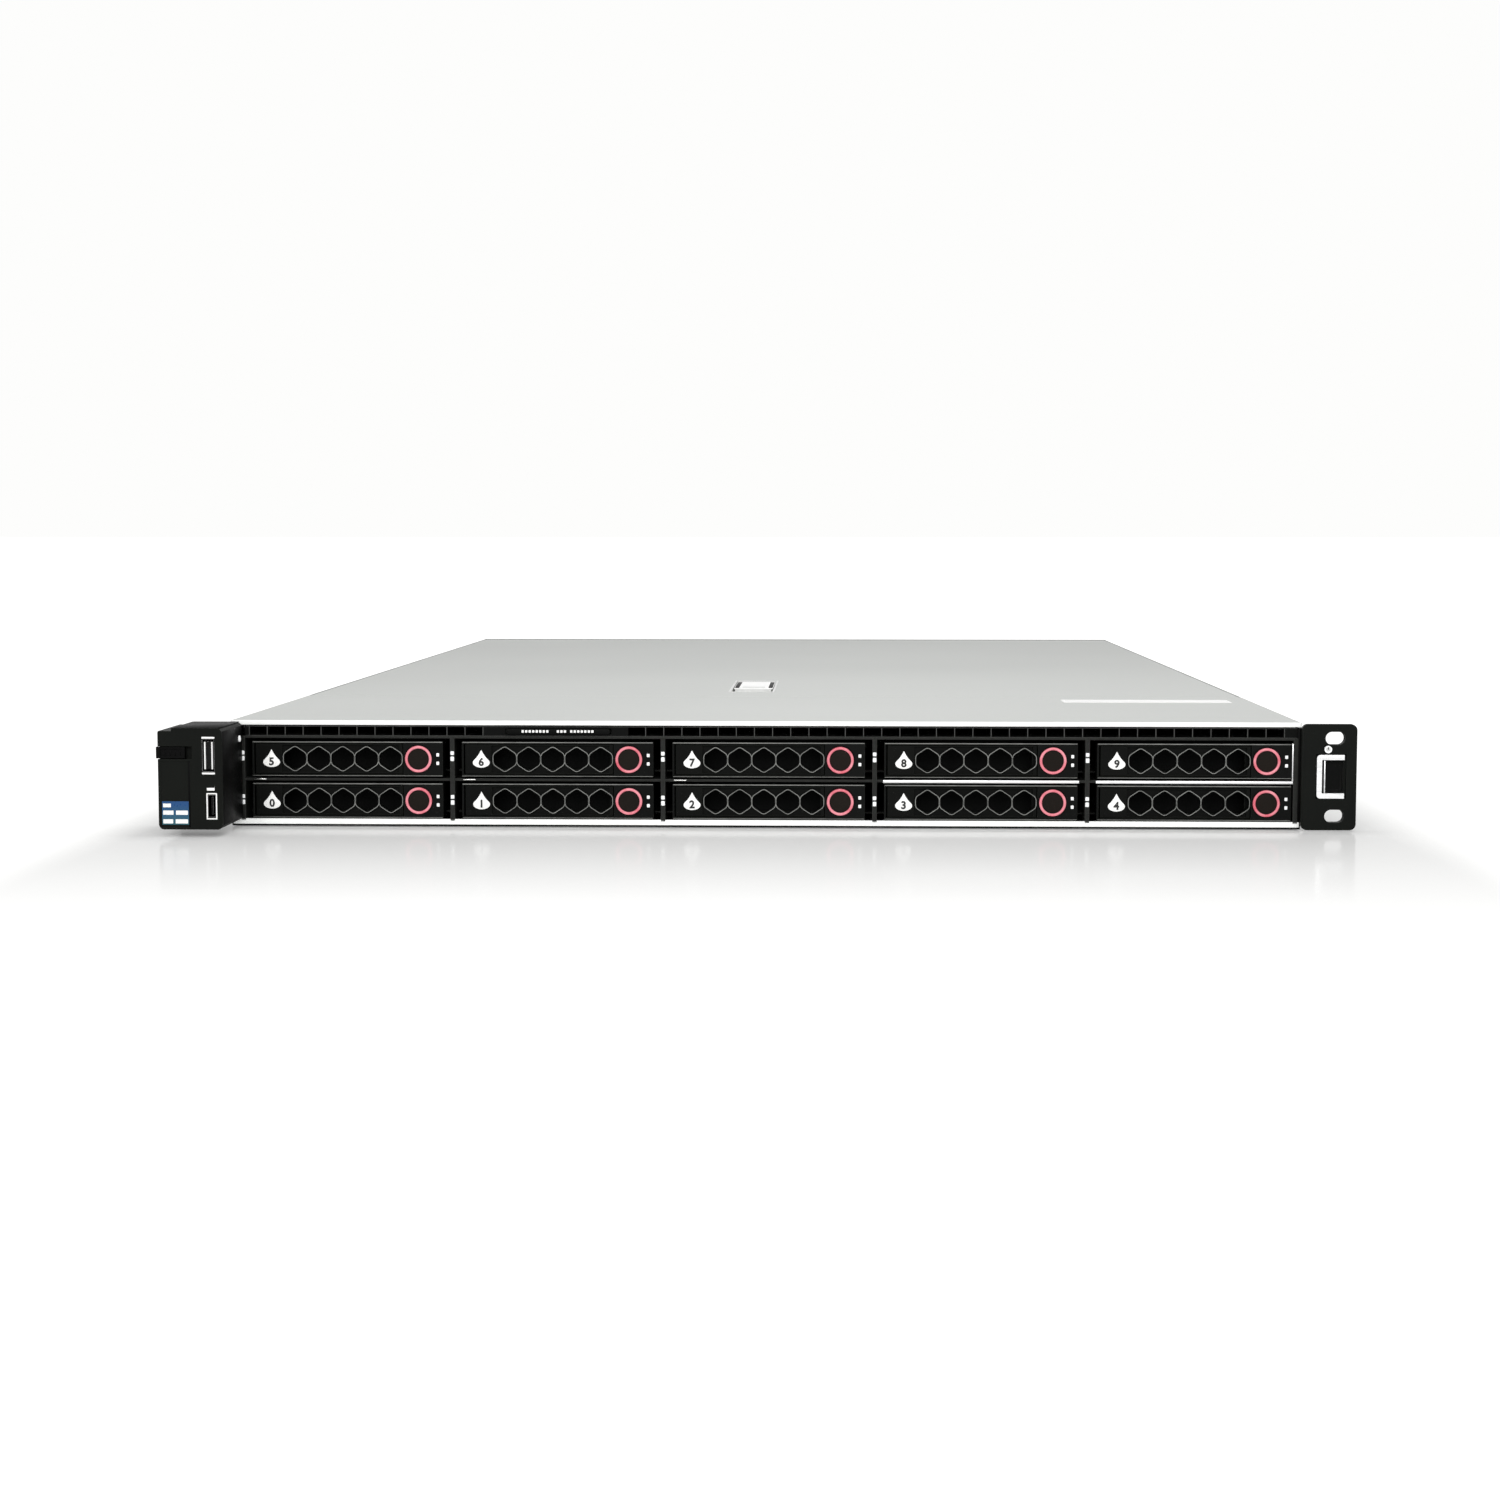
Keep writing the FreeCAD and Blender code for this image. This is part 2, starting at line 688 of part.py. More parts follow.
def covers():
    """The fixed front cover, and the removable cover with its latch pan and latch."""
    plate = block("front_plate", (f"-{HALF}", FRONT, COVER_LOW),
                  ("chassis_width", "front_cover_depth", "sheet_gauge"))
    lip = block("front_lip", (f"-{HALF}", FRONT, "unit_height - cover_lip"),
                ("chassis_width", "sheet_gauge", "cover_lip"))
    trimmed = [
        block("lip_relief", (left, FRONT, "unit_height - cover_lip"),
              ("2 * sheet_gauge", "sheet_gauge", "cover_lip - sheet_gauge"))
        for left in (f"-{HALF}", f"{HALF} - 2 * sheet_gauge")
    ]
    name_node("front_cover", cut("front_cover", fuse("front_folded", [plate, lip]), trimmed))

    start = f"({FRONT} + front_cover_depth + cover_gap)"
    long = "(chassis_depth - front_cover_depth - cover_gap)"
    main = block("main_plate", (f"-{HALF}", start, COVER_LOW), ("chassis_width", long, "sheet_gauge"))
    flanges = [
        block("cover_flange", (left, f"{start} + flange_set_back", f"{COVER_LOW} - flange_tall"),
              ("sheet_gauge", f"{long} - flange_short", "flange_tall"))
        for left in (f"-{HALF} + sheet_gauge + play", f"{HALF} - 2 * sheet_gauge - play")
    ]
    pan_top = f"({COVER_LOW} - pan_deep)"
    pan = block("latch_pan", ("latch_left - pan_wall", f"{FRONT} + pan_front - pan_wall", pan_top),
                ("latch_width + 2 * pan_wall", "pan_length + 2 * pan_wall", "pan_deep"))
    hollow = block("pan_hollow", ("latch_left", f"{FRONT} + pan_front", f"{pan_top} + pan_wall"),
                   ("latch_width", "pan_length", "pan_deep + sheet_gauge"))
    axis_high = "(unit_height - paddle_axis_under)"
    pin_reach = "(pan_wall - wall_gap)"
    holes = rod("paddle_hole",
                ("latch_left - pan_wall", f"{FRONT} + paddle_axis", axis_high),
                "paddle_pin_radius + pin_play", "latch_width + 2 * pan_wall", "x")
    whole = fuse("cover_folded", [main, pan, *flanges])
    name_node("top_cover", cut("top_cover", whole, [hollow, holes]))

    paddle = block("paddle", ("latch_left + paddle_side_gap", f"{FRONT} + paddle_front",
                              "unit_height - paddle_under - paddle_gauge"),
                   ("latch_width - 2 * paddle_side_gap", "paddle_length", "paddle_gauge"))
    pin = rod("paddle_pin", (f"latch_left - {pin_reach}", f"{FRONT} + paddle_axis", axis_high),
              "paddle_pin_radius", f"latch_width + 2 * {pin_reach}", "x")
    name_node("cover_latch", fuse("cover_latch", [paddle, pin]))


def ear_brackets():
    """The two steel angles that carry the ears and hold the machine to the rack."""
    brackets = []
    for sign in (-1, 1):
        outer = "(rack_width / 2 - bracket_inset)"
        flange_left = f"-{outer}" if sign < 0 else "ear_inner"
        flange = block("flange", (flange_left, f"{FRONT} - bracket_gauge", "left_ear_low"),
                       (f"{outer} - ear_inner", "bracket_gauge", "unit_height - 2 * left_ear_low"))
        leg_left = "-ear_inner - bracket_gauge" if sign < 0 else "ear_inner"
        leg = block("leg", (leg_left, f"{FRONT} - bracket_gauge", "left_ear_low"),
                    ("bracket_gauge", "bracket_leg", "unit_height - 2 * left_ear_low"))
        slots = [
            slot_cutter("bracket_slot", f"{sign} * rack_hole_across / 2",
                        f"({RACK_SLOT_LOW} + {row} * rack_hole_apart)",
                        f"{FRONT} - bracket_gauge", "bracket_gauge")
            for row in (0, 1)
        ]
        brackets.append(cut("bracket", fuse("angle", [flange, leg]), slots))
    name_node("ear_brackets", group("ear_brackets", brackets))


def left_ear():
    """The deep left ear: a moulded shell with two sockets, a catch channel and a panel."""
    tall = "(left_ear_high - left_ear_low)"
    wide = "(left_ear_outer - left_ear_inner)"
    face = f"({FRONT} - ear_reach)"
    shell = rounded("ear_shell", ("-left_ear_outer", face, "left_ear_low"),
                    (wide, "ear_reach - bracket_gauge", tall), dimension("ear_corner"), "y")
    cavity = block("ear_cavity", ("-left_ear_outer + ear_wall", f"{face} + ear_face_wall",
                                  "left_ear_low + ear_wall"),
                   (f"{wide} - 2 * ear_wall", "ear_reach", f"{tall} - 2 * ear_wall"))
    step = block("top_step", ("-left_ear_outer", face, "left_ear_high - ear_step_tall"),
                 ("ear_step_wide", "ear_reach", "ear_step_tall"))
    channel = block("catch_channel", ("-left_ear_outer", face, "catch_low - play"),
                    ("catch_length - catch_proud + catch_travel",
                     "catch_set_back + catch_deep + play", "catch_tall + 2 * play"))
    panel = block("panel_sink", ("-left_ear_outer + panel_left", face, "left_ear_low + panel_low"),
                  ("panel_wide", "panel_sunk",
                   "catch_low - left_ear_low - panel_low - panel_high_gap"))
    usb = block("usb_window", ("usb_across - usb_wide / 2", face, "usb_middle - usb_tall / 2"),
                ("usb_wide", "ear_face_wall", "usb_tall"))
    service = block("service_window", ("service_port_across - service_port_wide / 2", face,
                                       "service_port_middle - service_port_tall / 2"),
                    ("service_port_wide", "ear_face_wall", "service_port_tall"))
    name_node("left_ear", cut("left_ear", shell, [cavity, step, channel, panel, usb, service]))

    catch_left = "(-left_ear_outer - catch_proud)"
    catch = block("catch_bar", (catch_left, f"{face} + catch_set_back", "catch_low"),
                  ("catch_length", "catch_deep", "catch_tall"))
    dip = block("catch_dip", (f"{catch_left} + 2 * catch_rim", f"{face} + catch_set_back",
                              "catch_low + catch_rim"),
                ("catch_length - 4 * catch_rim", "catch_dip", "catch_tall - 2 * catch_rim"))
    name_node("left_release_catch", cut("left_release_catch", catch, [dip]))


def front_ports():
    """Two metal sockets in the left ear, each with a tongue inside."""
    face = f"({FRONT} - ear_reach)"
    sockets = []
    for name in ("usb", "service_port"):
        low = (f"{name}_across - {name}_wide / 2", f"{face} + port_set_back",
               f"{name}_middle - {name}_tall / 2")
        size = (f"{name}_wide", "port_deep", f"{name}_tall")
        shell = block(f"{name}_shell", low, size)
        mouth = block(f"{name}_mouth", (f"{low[0]} + port_wall", low[1], f"{low[2]} + port_wall"),
                      (f"{name}_wide - 2 * port_wall", "port_deep - port_wall",
                       f"{name}_tall - 2 * port_wall"))
        blade = block(f"{name}_tongue", (f"{name}_across - {name}_tongue / 2",
                                         f"{low[1]} + port_tongue_rim", f"{low[2]} + port_tongue_rim"),
                      (f"{name}_tongue", "port_deep - port_tongue_rim",
                       f"{name}_tall - 2 * port_tongue_rim"))
        sockets.append(fuse(name, [cut(f"{name}_hollow", shell, [mouth]), blade]))
    name_node("front_ports", group("front_ports", sockets))


def right_ear():
    """The flat right ear with its rack slots, power button and finger bail."""
    outer = "(rack_width / 2)"
    face = f"({FRONT} - bracket_gauge - right_ear_gauge)"
    plate = rounded("ear_plate", ("ear_inner - right_ear_lap", face, "right_ear_rim"),
                    (f"{outer} - ear_inner + right_ear_lap", "right_ear_gauge",
                     "unit_height - 2 * right_ear_rim"),
                    dimension("right_ear_corner"), "y")
    slots = [
        slot_cutter("ear_slot", "rack_hole_across / 2", f"({RACK_SLOT_LOW} + {row} * rack_hole_apart)",
                    face, "right_ear_gauge")
        for row in (0, 1)
    ]
    seat = block("bail_seat", ("bail_left - play", face, "bail_low - play"),
                 ("bail_right - bail_left + 4 * play", "bail_gauge - bail_proud + bail_seat_gap",
                  "bail_tall + 2 * play"))
    recess = block("finger_recess", ("bail_left + recess_inset", face, "bail_low + bail_bar"),
                   ("bail_right - bail_left - recess_inset", "right_ear_gauge",
                    "bail_tall - 2 * bail_bar"))
    bore = rod("power_bore", ("power_across", face, "power_middle"), "power_radius + play",
               "right_ear_gauge", "y")
    name_node("right_ear", cut("right_ear", plate, [*slots, seat, recess, bore]))

    bail = doc.addObject("PartDesign::Body", "right_release_lever")
    plane = next(item for item in bail.Origin.OriginFeatures if item.Role == "XZ_Plane")
    outline = bail.newObject("Sketcher::SketchObject", "bail_outline")
    outline.AttachmentSupport = [(plane, "")]
    outline.MapMode = "FlatFace"
    far = "bail_right"
    near = "(bail_left + bail_bar)"
    top = "(bail_low + bail_tall)"
    corners = [
        (far, "bail_low"), ("bail_left", "bail_low"), ("bail_left", top), (far, top),
        (far, f"{top} - bail_bar"), (near, f"{top} - bail_bar"),
        (near, "bail_low + bail_bar"), (far, "bail_low + bail_bar"),
    ]
    close_outline(outline, corners,
                  [(9, 0), (0, 0), (0, 9), (9, 9), (9, 7), (2, 7), (2, 2), (9, 2)])
    pad = bail.newObject("PartDesign::Pad", "bail_pad")
    pad.Profile = outline
    bind(pad, "Length", "bail_gauge")
    doc.recompute()
    soft = bail.newObject("PartDesign::Fillet", "bail_corners")
    wanted = []
    for number, edge in enumerate(pad.Shape.Edges, start=1):
        run = edge.Vertexes[1].Point - edge.Vertexes[0].Point
        on_left = abs(edge.Vertexes[0].Point.x - dimension("bail_left")) < 1e-6
        if abs(run.y) > 1e-6 and on_left:
            wanted.append(f"Edge{number}")
    soft.Base = (pad, wanted)
    bind(soft, "Radius", "bail_corner")
    bind(bail, "Placement.Base.y", f"{face} - bail_proud + bail_gauge")
    name_node("right_release_lever", bail)

    button = rod("power_button", ("power_across", f"{face} - power_proud", "power_middle"),
                 "power_radius", "power_length", "y")
    name_node("power_button", button)


def backplane():
    """The board behind the drives, with two rows of air windows."""
    front = f"{FRONT} + backplane_front"
    board = block("backplane_board", ("-backplane_width / 2", front, "backplane_low"),
                  ("backplane_width", "backplane_gauge", "backplane_tall"))
    windows = [
        block("air_window", (f"bay_left + {column} * bay_pitch + backplane_window_inset", front, low),
              ("backplane_window_wide", "backplane_gauge", "backplane_window_tall"))
        for column in range(COLUMNS) for low in ("backplane_window_low", "backplane_window_high")
    ]
    name_node("backplane", cut("backplane", board, windows))


def fan_blade(index):
    """One slanted blade, laid along the hub at its turn round the shaft."""
    blade = doc.addObject("Part::Box", "blade")
    for prop, formula in zip(("Length", "Width", "Height"),
                             ("blade_gauge", "blade_length", "rotor_radius + blade_past")):
        bind(blade, prop, formula)
    centred = FreeCAD.Placement(
        FreeCAD.Vector(-dimension("blade_gauge") / 2, -dimension("blade_length") / 2, 0),
        FreeCAD.Rotation(),
    )
    pitched = FreeCAD.Placement(
        FreeCAD.Vector(0, dimension("rotor_depth") / 2, 0),
        FreeCAD.Rotation(FreeCAD.Vector(0, 0, 1), BLADE_TURN),
    )
    turn = FreeCAD.Rotation(FreeCAD.Vector(0, 1, 0), 360 * index / BLADES)
    spun = FreeCAD.Placement(FreeCAD.Vector(), turn)
    blade.Placement = spun.multiply(pitched).multiply(centred)
    return blade


def fans():
    """Five fan modules in a row, each frame with its own rotor."""
    frame = block("fan_case", ("-fan_width / 2", 0, "-fan_tall / 2"),
                  ("fan_width", "fan_depth", "fan_tall"))
    bore = rod("fan_duct", (0, 0, 0), "fan_bore", "fan_depth", "y")
    motor_front = "fan_depth - motor_back_gap - motor_gauge"
    motor = rod("motor_seat", (0, motor_front, 0), "hub_radius", "motor_gauge", "y")
    across = ("2 * (fan_bore + spoke_root)", "spoke_gauge", "spoke_width")
    root = "-fan_bore - spoke_root"
    spokes = [
        block("spoke", (root, f"{motor_front} + motor_back_gap", "-spoke_width / 2"), across),
        block("spoke", ("-spoke_width / 2", f"{motor_front} + motor_back_gap", root), across[::-1]),
    ]
    module = fuse("fan_module", [cut("fan_frame", frame, [bore]), motor, *spokes])

    hub = rod("rotor_hub", (0, 0, 0), "hub_radius", "rotor_depth", "y")
    envelope = rod("rotor_envelope", (0, 0, 0), "rotor_radius", "rotor_depth", "y")
    swept = doc.addObject("Part::Common", "rotor_blades")
    swept.Base = fuse("blade_set", [fan_blade(index) for index in range(BLADES)])
    swept.Tool = envelope
    rotor = fuse("rotor", [hub, swept])

    middle = "sheet_gauge + wall_gap + fan_tall / 2"
    modules = []
    for index in range(FANS):
        place = f"({index} - {FANS // 2}) * fan_pitch"
        copy = group("fan_place", [module])
        put(copy, (place, f"{FRONT} + fan_front", middle))
        modules.append(copy)
        copy_node(f"fan_rotor_{index + 1}", rotor,
                  (place, f"{FRONT} + fan_front + rotor_set_back", middle))
    name_node("fan_frames", group("fan_frames", modules))


def boards():
    """The main board on its posts, two processor coolers and the memory sticks."""
    front = f"{FRONT} + board_front"
    wide = block("board_front_part", ("-board_width / 2", front, "board_low"),
                 ("board_width", "board_wide_length", "board_gauge"))
    narrow = block("board_rear_part", ("-board_width / 2", front, "board_low"),
                   ("board_narrow_width", "board_length", "board_gauge"))
    posts = [
        rod("board_post", (across, f"{front} + {along}", "sheet_gauge"), "board_post_radius",
            "board_low - sheet_gauge", "z")
        for across, along in BOARD_POSTS
    ]
    name_node("motherboard", fuse("motherboard", [wide, narrow, *posts]))

    top = "(board_low + board_gauge)"
    coolers = []
    for sign in (-1, 1):
        left = f"{sign} * sink_middle - sink_width / 2"
        base = block("sink_base", (left, f"{FRONT} + socket_front", top),
                     ("sink_width", "sink_length", "sink_base"))
        fins = [
            block("sink_fin", (f"{left} + {index} * sink_pitch", f"{FRONT} + socket_front",
                               f"{top} + sink_base"),
                  ("sink_fin", "sink_length", "sink_tall - sink_base"))
            for index in range(SINK_FINS)
        ]
        coolers.append(fuse("cooler", [base, *fins]))
    name_node("heatsinks", group("heatsinks", coolers))

    sticks = [
        block("stick", (f"{start} + {index} * dimm_pitch", f"{front} + dimm_front", top),
              ("dimm_gauge", "dimm_length", "dimm_tall"))
        for start in MEMORY_BANKS for index in range(STICKS)
    ]
    name_node("memory_modules", group("memory_modules", sticks))


def power_supplies():
    """Two plug-in power supplies, each with an inlet, a fan mouth, a grip and a thumb latch."""
    case = block("psu_case", (0, 0, 0), ("psu_width", "psu_length", "psu_tall"))
    inlet = block("inlet", ("inlet_left", "psu_length - inlet_deep", "inlet_low"),
                  ("inlet_wide", "inlet_deep", "inlet_tall"))
    fan_start = ("psu_fan_across", "psu_length - psu_fan_deep", "psu_tall / 2")
    mouth = rod("fan_mouth", fan_start, "psu_fan_radius", "psu_fan_deep", "y")
    hub = rod("fan_hub", fan_start, "psu_hub_radius", "psu_fan_deep - psu_hub_sunk", "y")
    reach = "(total_depth - ear_reach - chassis_depth)"
    grip = rounded("grip", ("grip_left", "psu_length", "grip_low"),
                   ("grip_gauge", reach, "psu_tall - 2 * grip_low"), dimension("grip_corner"), "y")
    finger = block("grip_gap", ("grip_left", "psu_length", "grip_low + grip_bar"),
                   ("grip_gauge", f"{reach} - grip_bar", "psu_tall - 2 * grip_low - 2 * grip_bar"))
    loop = cut("grip_loop", grip, [finger])
    supply = fuse("power_supply", [cut("psu_body", case, [inlet, mouth]), hub, loop])

    latch_low = "(psu_tall - psu_latch_tall) / 2"
    stem = block("latch_stem", ("psu_latch_left", "psu_length + play", latch_low),
                 ("psu_latch_stem", "psu_latch_reach", "psu_latch_tall"))
    thumb = block("latch_thumb", ("psu_latch_left", "psu_length + psu_latch_reach - psu_thumb_lap",
                                  latch_low),
                  ("psu_latch_gauge", "psu_thumb_deep", "psu_latch_tall"))
    latch = fuse("thumb_latch", [stem, thumb])
    for index in range(2):
        low = (f"psu_left + {index} * psu_pitch", f"{REAR} - psu_length", "sheet_gauge + wall_gap")
        copy_node(f"psu_{index + 1}", supply, low)
        copy_node(f"psu_latch_{index + 1}", latch, low)


def rear_ports():
    """The connectors at the rear: display, three network jacks and a stacked pair."""
    ports = []
    shell = block("display_block", ("display_left", f"{REAR} - display_deep", "port_low"),
                  ("display_wide", "display_deep - display_back", "display_tall"))
    nose = block("display_shell", ("display_left + display_shell_inset", f"{REAR} - display_back",
                                   "port_low + display_shell_rim"),
                 ("display_wide - 2 * display_shell_inset", "display_shell_deep",
                  "display_tall - 2 * display_shell_rim"))
    ports.append(fuse("display_port", [shell, nose]))
    for index in range(NETWORK_JACKS):
        left = f"(network_left + {index} * network_pitch)"
        jack = block("jack", (left, f"{REAR} - network_deep", "port_low"),
                     ("network_wide", "network_deep", "network_tall"))
        mouth = block("jack_mouth", (f"{left} + (network_wide - network_mouth_wide) / 2",
                                     f"{REAR} - network_mouth_deep", "port_low + port_mouth_low"),
                      ("network_mouth_wide", "network_mouth_deep", "network_mouth_tall"))
        ports.append(cut("network_jack", jack, [mouth]))
    stack = block("stack", ("stack_left", f"{REAR} - stack_deep", "port_low"),
                  ("stack_wide", "stack_deep", "stack_tall"))
    mouths = [
        block("stack_mouth", ("stack_left + stack_wall", f"{REAR} - stack_mouth_deep",
                              f"port_low + {low}"),
              ("stack_wide - 2 * stack_wall", "stack_mouth_deep", "stack_mouth_tall"))
        for low in ("stack_mouth_low", "stack_mouth_high")
    ]
    ports.append(cut("port_stack", stack, mouths))
    name_node("rear_ports", group("rear_ports", ports))


def fasteners():
    """Shoulder studs that hang in the slide rails, and the screws of the ear brackets."""
    parts = []
    for sign in (-1, 1):
        left_side = sign < 0
        shank_start = f"-{HALF} - stud_reach" if left_side else HALF
        head_start = f"{shank_start} - stud_head_gauge" if left_side else f"{HALF} + stud_reach"
        for index in range(STUDS):
            along = f"{FRONT} + stud_first + {index} * stud_pitch"
            shank = rod("stud_shank", (shank_start, along, "stud_middle"), "stud_radius",
                        "stud_reach", "x")
            head = rod("stud_head", (head_start, along, "stud_middle"), "stud_head_radius",
                       "stud_head_gauge", "x")
            parts.append(fuse("rail_stud", [shank, head]))
        leg_face = "(ear_inner + bracket_gauge)"
        screw_start = f"-{leg_face} - screw_head_gauge" if left_side else leg_face
        for along in ("screw_first", "screw_first + screw_apart"):
            for high in ("screw_low", "screw_high"):
                parts.append(
                    rod("bracket_screw", (screw_start, f"{FRONT} + {along}", high),
                        "screw_head_radius", "screw_head_gauge", "x")
                )
    name_node("fasteners", group("fasteners", parts))


def export():
    """Checks every object and writes one file for each sub-part."""
    doc.recompute()
    for item in doc.Objects:
        if "Invalid" in item.State or "Error" in item.State:
            raise RuntimeError(f"{item.Label} did not build: {item.State}")
    os.makedirs("parts", exist_ok=True)
    for node, item in nodes.items():
        shape = item.Shape
        if shape.isNull() or not shape.isValid() or not shape.Solids:
            raise RuntimeError(f"{node} has no valid shape")
        shape.exportStep(f"parts/{node}.step")
    print(len(nodes), "sub-parts written")


sheet = make_sheet()
chassis_tray()
drive_cage()
drives()
vent_strip()
covers()
ear_brackets()
left_ear()
front_ports()
right_ear()
backplane()
fans()
boards()
power_supplies()
rear_ports()
fasteners()
export()
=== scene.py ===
import math

import bpy
from mathutils import Matrix, Vector


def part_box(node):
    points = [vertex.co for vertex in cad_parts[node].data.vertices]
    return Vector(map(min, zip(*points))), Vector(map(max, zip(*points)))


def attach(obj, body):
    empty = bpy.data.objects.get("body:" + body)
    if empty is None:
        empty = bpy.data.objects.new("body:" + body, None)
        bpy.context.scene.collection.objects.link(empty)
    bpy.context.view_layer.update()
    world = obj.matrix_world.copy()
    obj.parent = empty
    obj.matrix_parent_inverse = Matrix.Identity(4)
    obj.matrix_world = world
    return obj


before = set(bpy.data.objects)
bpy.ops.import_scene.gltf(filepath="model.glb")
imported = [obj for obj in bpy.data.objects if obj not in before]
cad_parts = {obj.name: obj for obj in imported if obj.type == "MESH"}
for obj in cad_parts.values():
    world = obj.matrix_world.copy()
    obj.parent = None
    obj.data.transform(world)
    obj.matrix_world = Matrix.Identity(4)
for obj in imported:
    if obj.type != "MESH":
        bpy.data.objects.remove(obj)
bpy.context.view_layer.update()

# The dressed 1U rack server. Lengths are in metres; MM turns a size in millimetres into metres.
# +X is to the right of someone who faces the drives, +Y runs back into the rack, +Z is up.

MM = 0.001
BAYS = 10
COLUMNS = 5

bay_low, bay_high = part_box("drive_carrier_0")
lever_low, lever_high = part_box("drive_lever_0")
button_low, button_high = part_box("drive_button_0")
tray_low, tray_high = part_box("chassis_tray")
lid_low, lid_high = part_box("top_cover")
hood_low, hood_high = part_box("front_cover")
left_low, left_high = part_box("left_ear")
right_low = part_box("right_ear")[0]
bail_low, bail_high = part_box("right_release_lever")
latch_low, latch_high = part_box("cover_latch")
vent_low, vent_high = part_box("vent_strip")
tag_low, tag_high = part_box("info_tag")
catch_low, catch_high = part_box("left_release_catch")
ports_low, ports_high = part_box("front_ports")
power_low, power_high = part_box("power_button")
cage_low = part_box("drive_cage")[0]
psu_low, psu_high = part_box("psu_1")
rear_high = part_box("rear_ports")[1]
DRIVE_FACE = bay_low.y
REAR_FACE = tray_high.y
COLUMN_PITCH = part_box("drive_carrier_1")[0].x - bay_low.x
PSU_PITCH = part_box("psu_2")[0].x - psu_low.x
LEVER_MIDDLE = (lever_low.z + lever_high.z) / 2
TAG_ACROSS = lever_low.x + 6.6 * MM


# ---------------------------------------------------------------- studio

def make_camera():
    """A long lens a little over the lid and a little right of the middle."""
    eye_across = 30.4 * MM
    eye_over_lid = 79.4 * MM
    eye_to_drives = 1066.2 * MM
    look_down = math.radians(4.88)
    look_left = math.radians(1.91)
    data = bpy.data.cameras.new("camera")
    data.sensor_width = 36.0
    data.lens = 62.63
    camera = bpy.data.objects.new("camera", data)
    camera.location = (eye_across, DRIVE_FACE - eye_to_drives, lid_high.z + eye_over_lid)
    camera.rotation_euler = (math.radians(90) - look_down, 0, look_left)
    bpy.context.scene.collection.objects.link(camera)
    bpy.context.scene.camera = camera
    bpy.context.scene.view_settings.view_transform = "Standard"


def make_light(name, place, aim, size, watts, mirrored=True):
    """A soft rectangular lamp turned towards a point, seen in shiny surfaces or not."""
    data = bpy.data.lights.new(name, "AREA")
    data.shape = "RECTANGLE"
    data.size, data.size_y = size
    data.energy = watts
    lamp = bpy.data.objects.new(name, data)
    lamp.location = place
    lamp.visible_glossy = mirrored
    lamp.rotation_euler = (Vector(aim) - Vector(place)).to_track_quat("-Z", "Y").to_euler()
    bpy.context.scene.collection.objects.link(lamp)


def add(tree, kind, settings=None, links=None):
    """Adds one shader node with its settings and its incoming links."""
    made = tree.nodes.new(kind)
    for name, value in (settings or {}).items():
        if isinstance(name, str) and hasattr(made, name):
            setattr(made, name, value)
        else:
            made.inputs[name].default_value = value
    for name, socket in (links or {}).items():
        tree.links.new(socket, made.inputs[name])
    return made


def linear(code):
    """A linear colour from an sRGB hex value."""
    parts = [int(code[start:start + 2], 16) / 255 for start in (1, 3, 5)]
    return [c / 12.92 if c <= 0.04045 else ((c + 0.055) / 1.055) ** 2.4 for c in parts] + [1.0]


def spread(tree, value, low, high, start=0.3, end=0.7):
    """Takes a pattern's value from one range to another."""
    settings = {"From Min": start, "From Max": end, "To Min": low, "To Max": high}
    return add(tree, "ShaderNodeMapRange", settings, {"Value": value}).outputs[0]


def mixed(tree, share, first, second):
    """One shader shading into another."""
    return add(tree, "ShaderNodeMixShader", None, {0: share, 1: first, 2: second}).outputs[0]


def make_world():
    """White surroundings: dimmer as a light, and full white where they are seen."""
    white = (1, 1, 1, 1)
    world = bpy.data.worlds.new("studio")
    world.use_nodes = True
    tree = world.node_tree
    tree.nodes.clear()
    path = add(tree, "ShaderNodeLightPath").outputs
    seen = add(tree, "ShaderNodeMath", {"operation": "MAXIMUM"},
               {0: path["Is Camera Ray"], 1: path["Is Transmission Ray"]}).outputs[0]
    ambient, mirrored, shown = [
        add(tree, "ShaderNodeBackground", {"Color": colour, "Strength": strength}).outputs[0]
        for colour, strength in ((white, 0.42), (white, 0.95), (linear("#FDFDFC"), 1.0))
    ]
    soft = mixed(tree, path["Is Glossy Ray"], ambient, mirrored)
    add(tree, "ShaderNodeOutputWorld", None, {"Surface": mixed(tree, seen, soft, shown)})
    bpy.context.scene.world = world


def beyond_footprint(tree):
    """How far a point of the floor is from under the machine; sideways it counts ten times."""
    half_footprint = (0.25, 0.42, 0)
    at = add(tree, "ShaderNodeTexCoord").outputs["Object"]
    for operation, by in (("ABSOLUTE", (0, 0, 0)), ("SUBTRACT", half_footprint),
                          ("MAXIMUM", (0, 0, 0)), ("MULTIPLY", (10, 1, 0))):
        settings = {"operation": operation, 1: by}
        at = add(tree, "ShaderNodeVectorMath", settings, {0: at}).outputs[0]
    return add(tree, "ShaderNodeVectorMath", {"operation": "LENGTH"}, {0: at}).outputs["Value"]


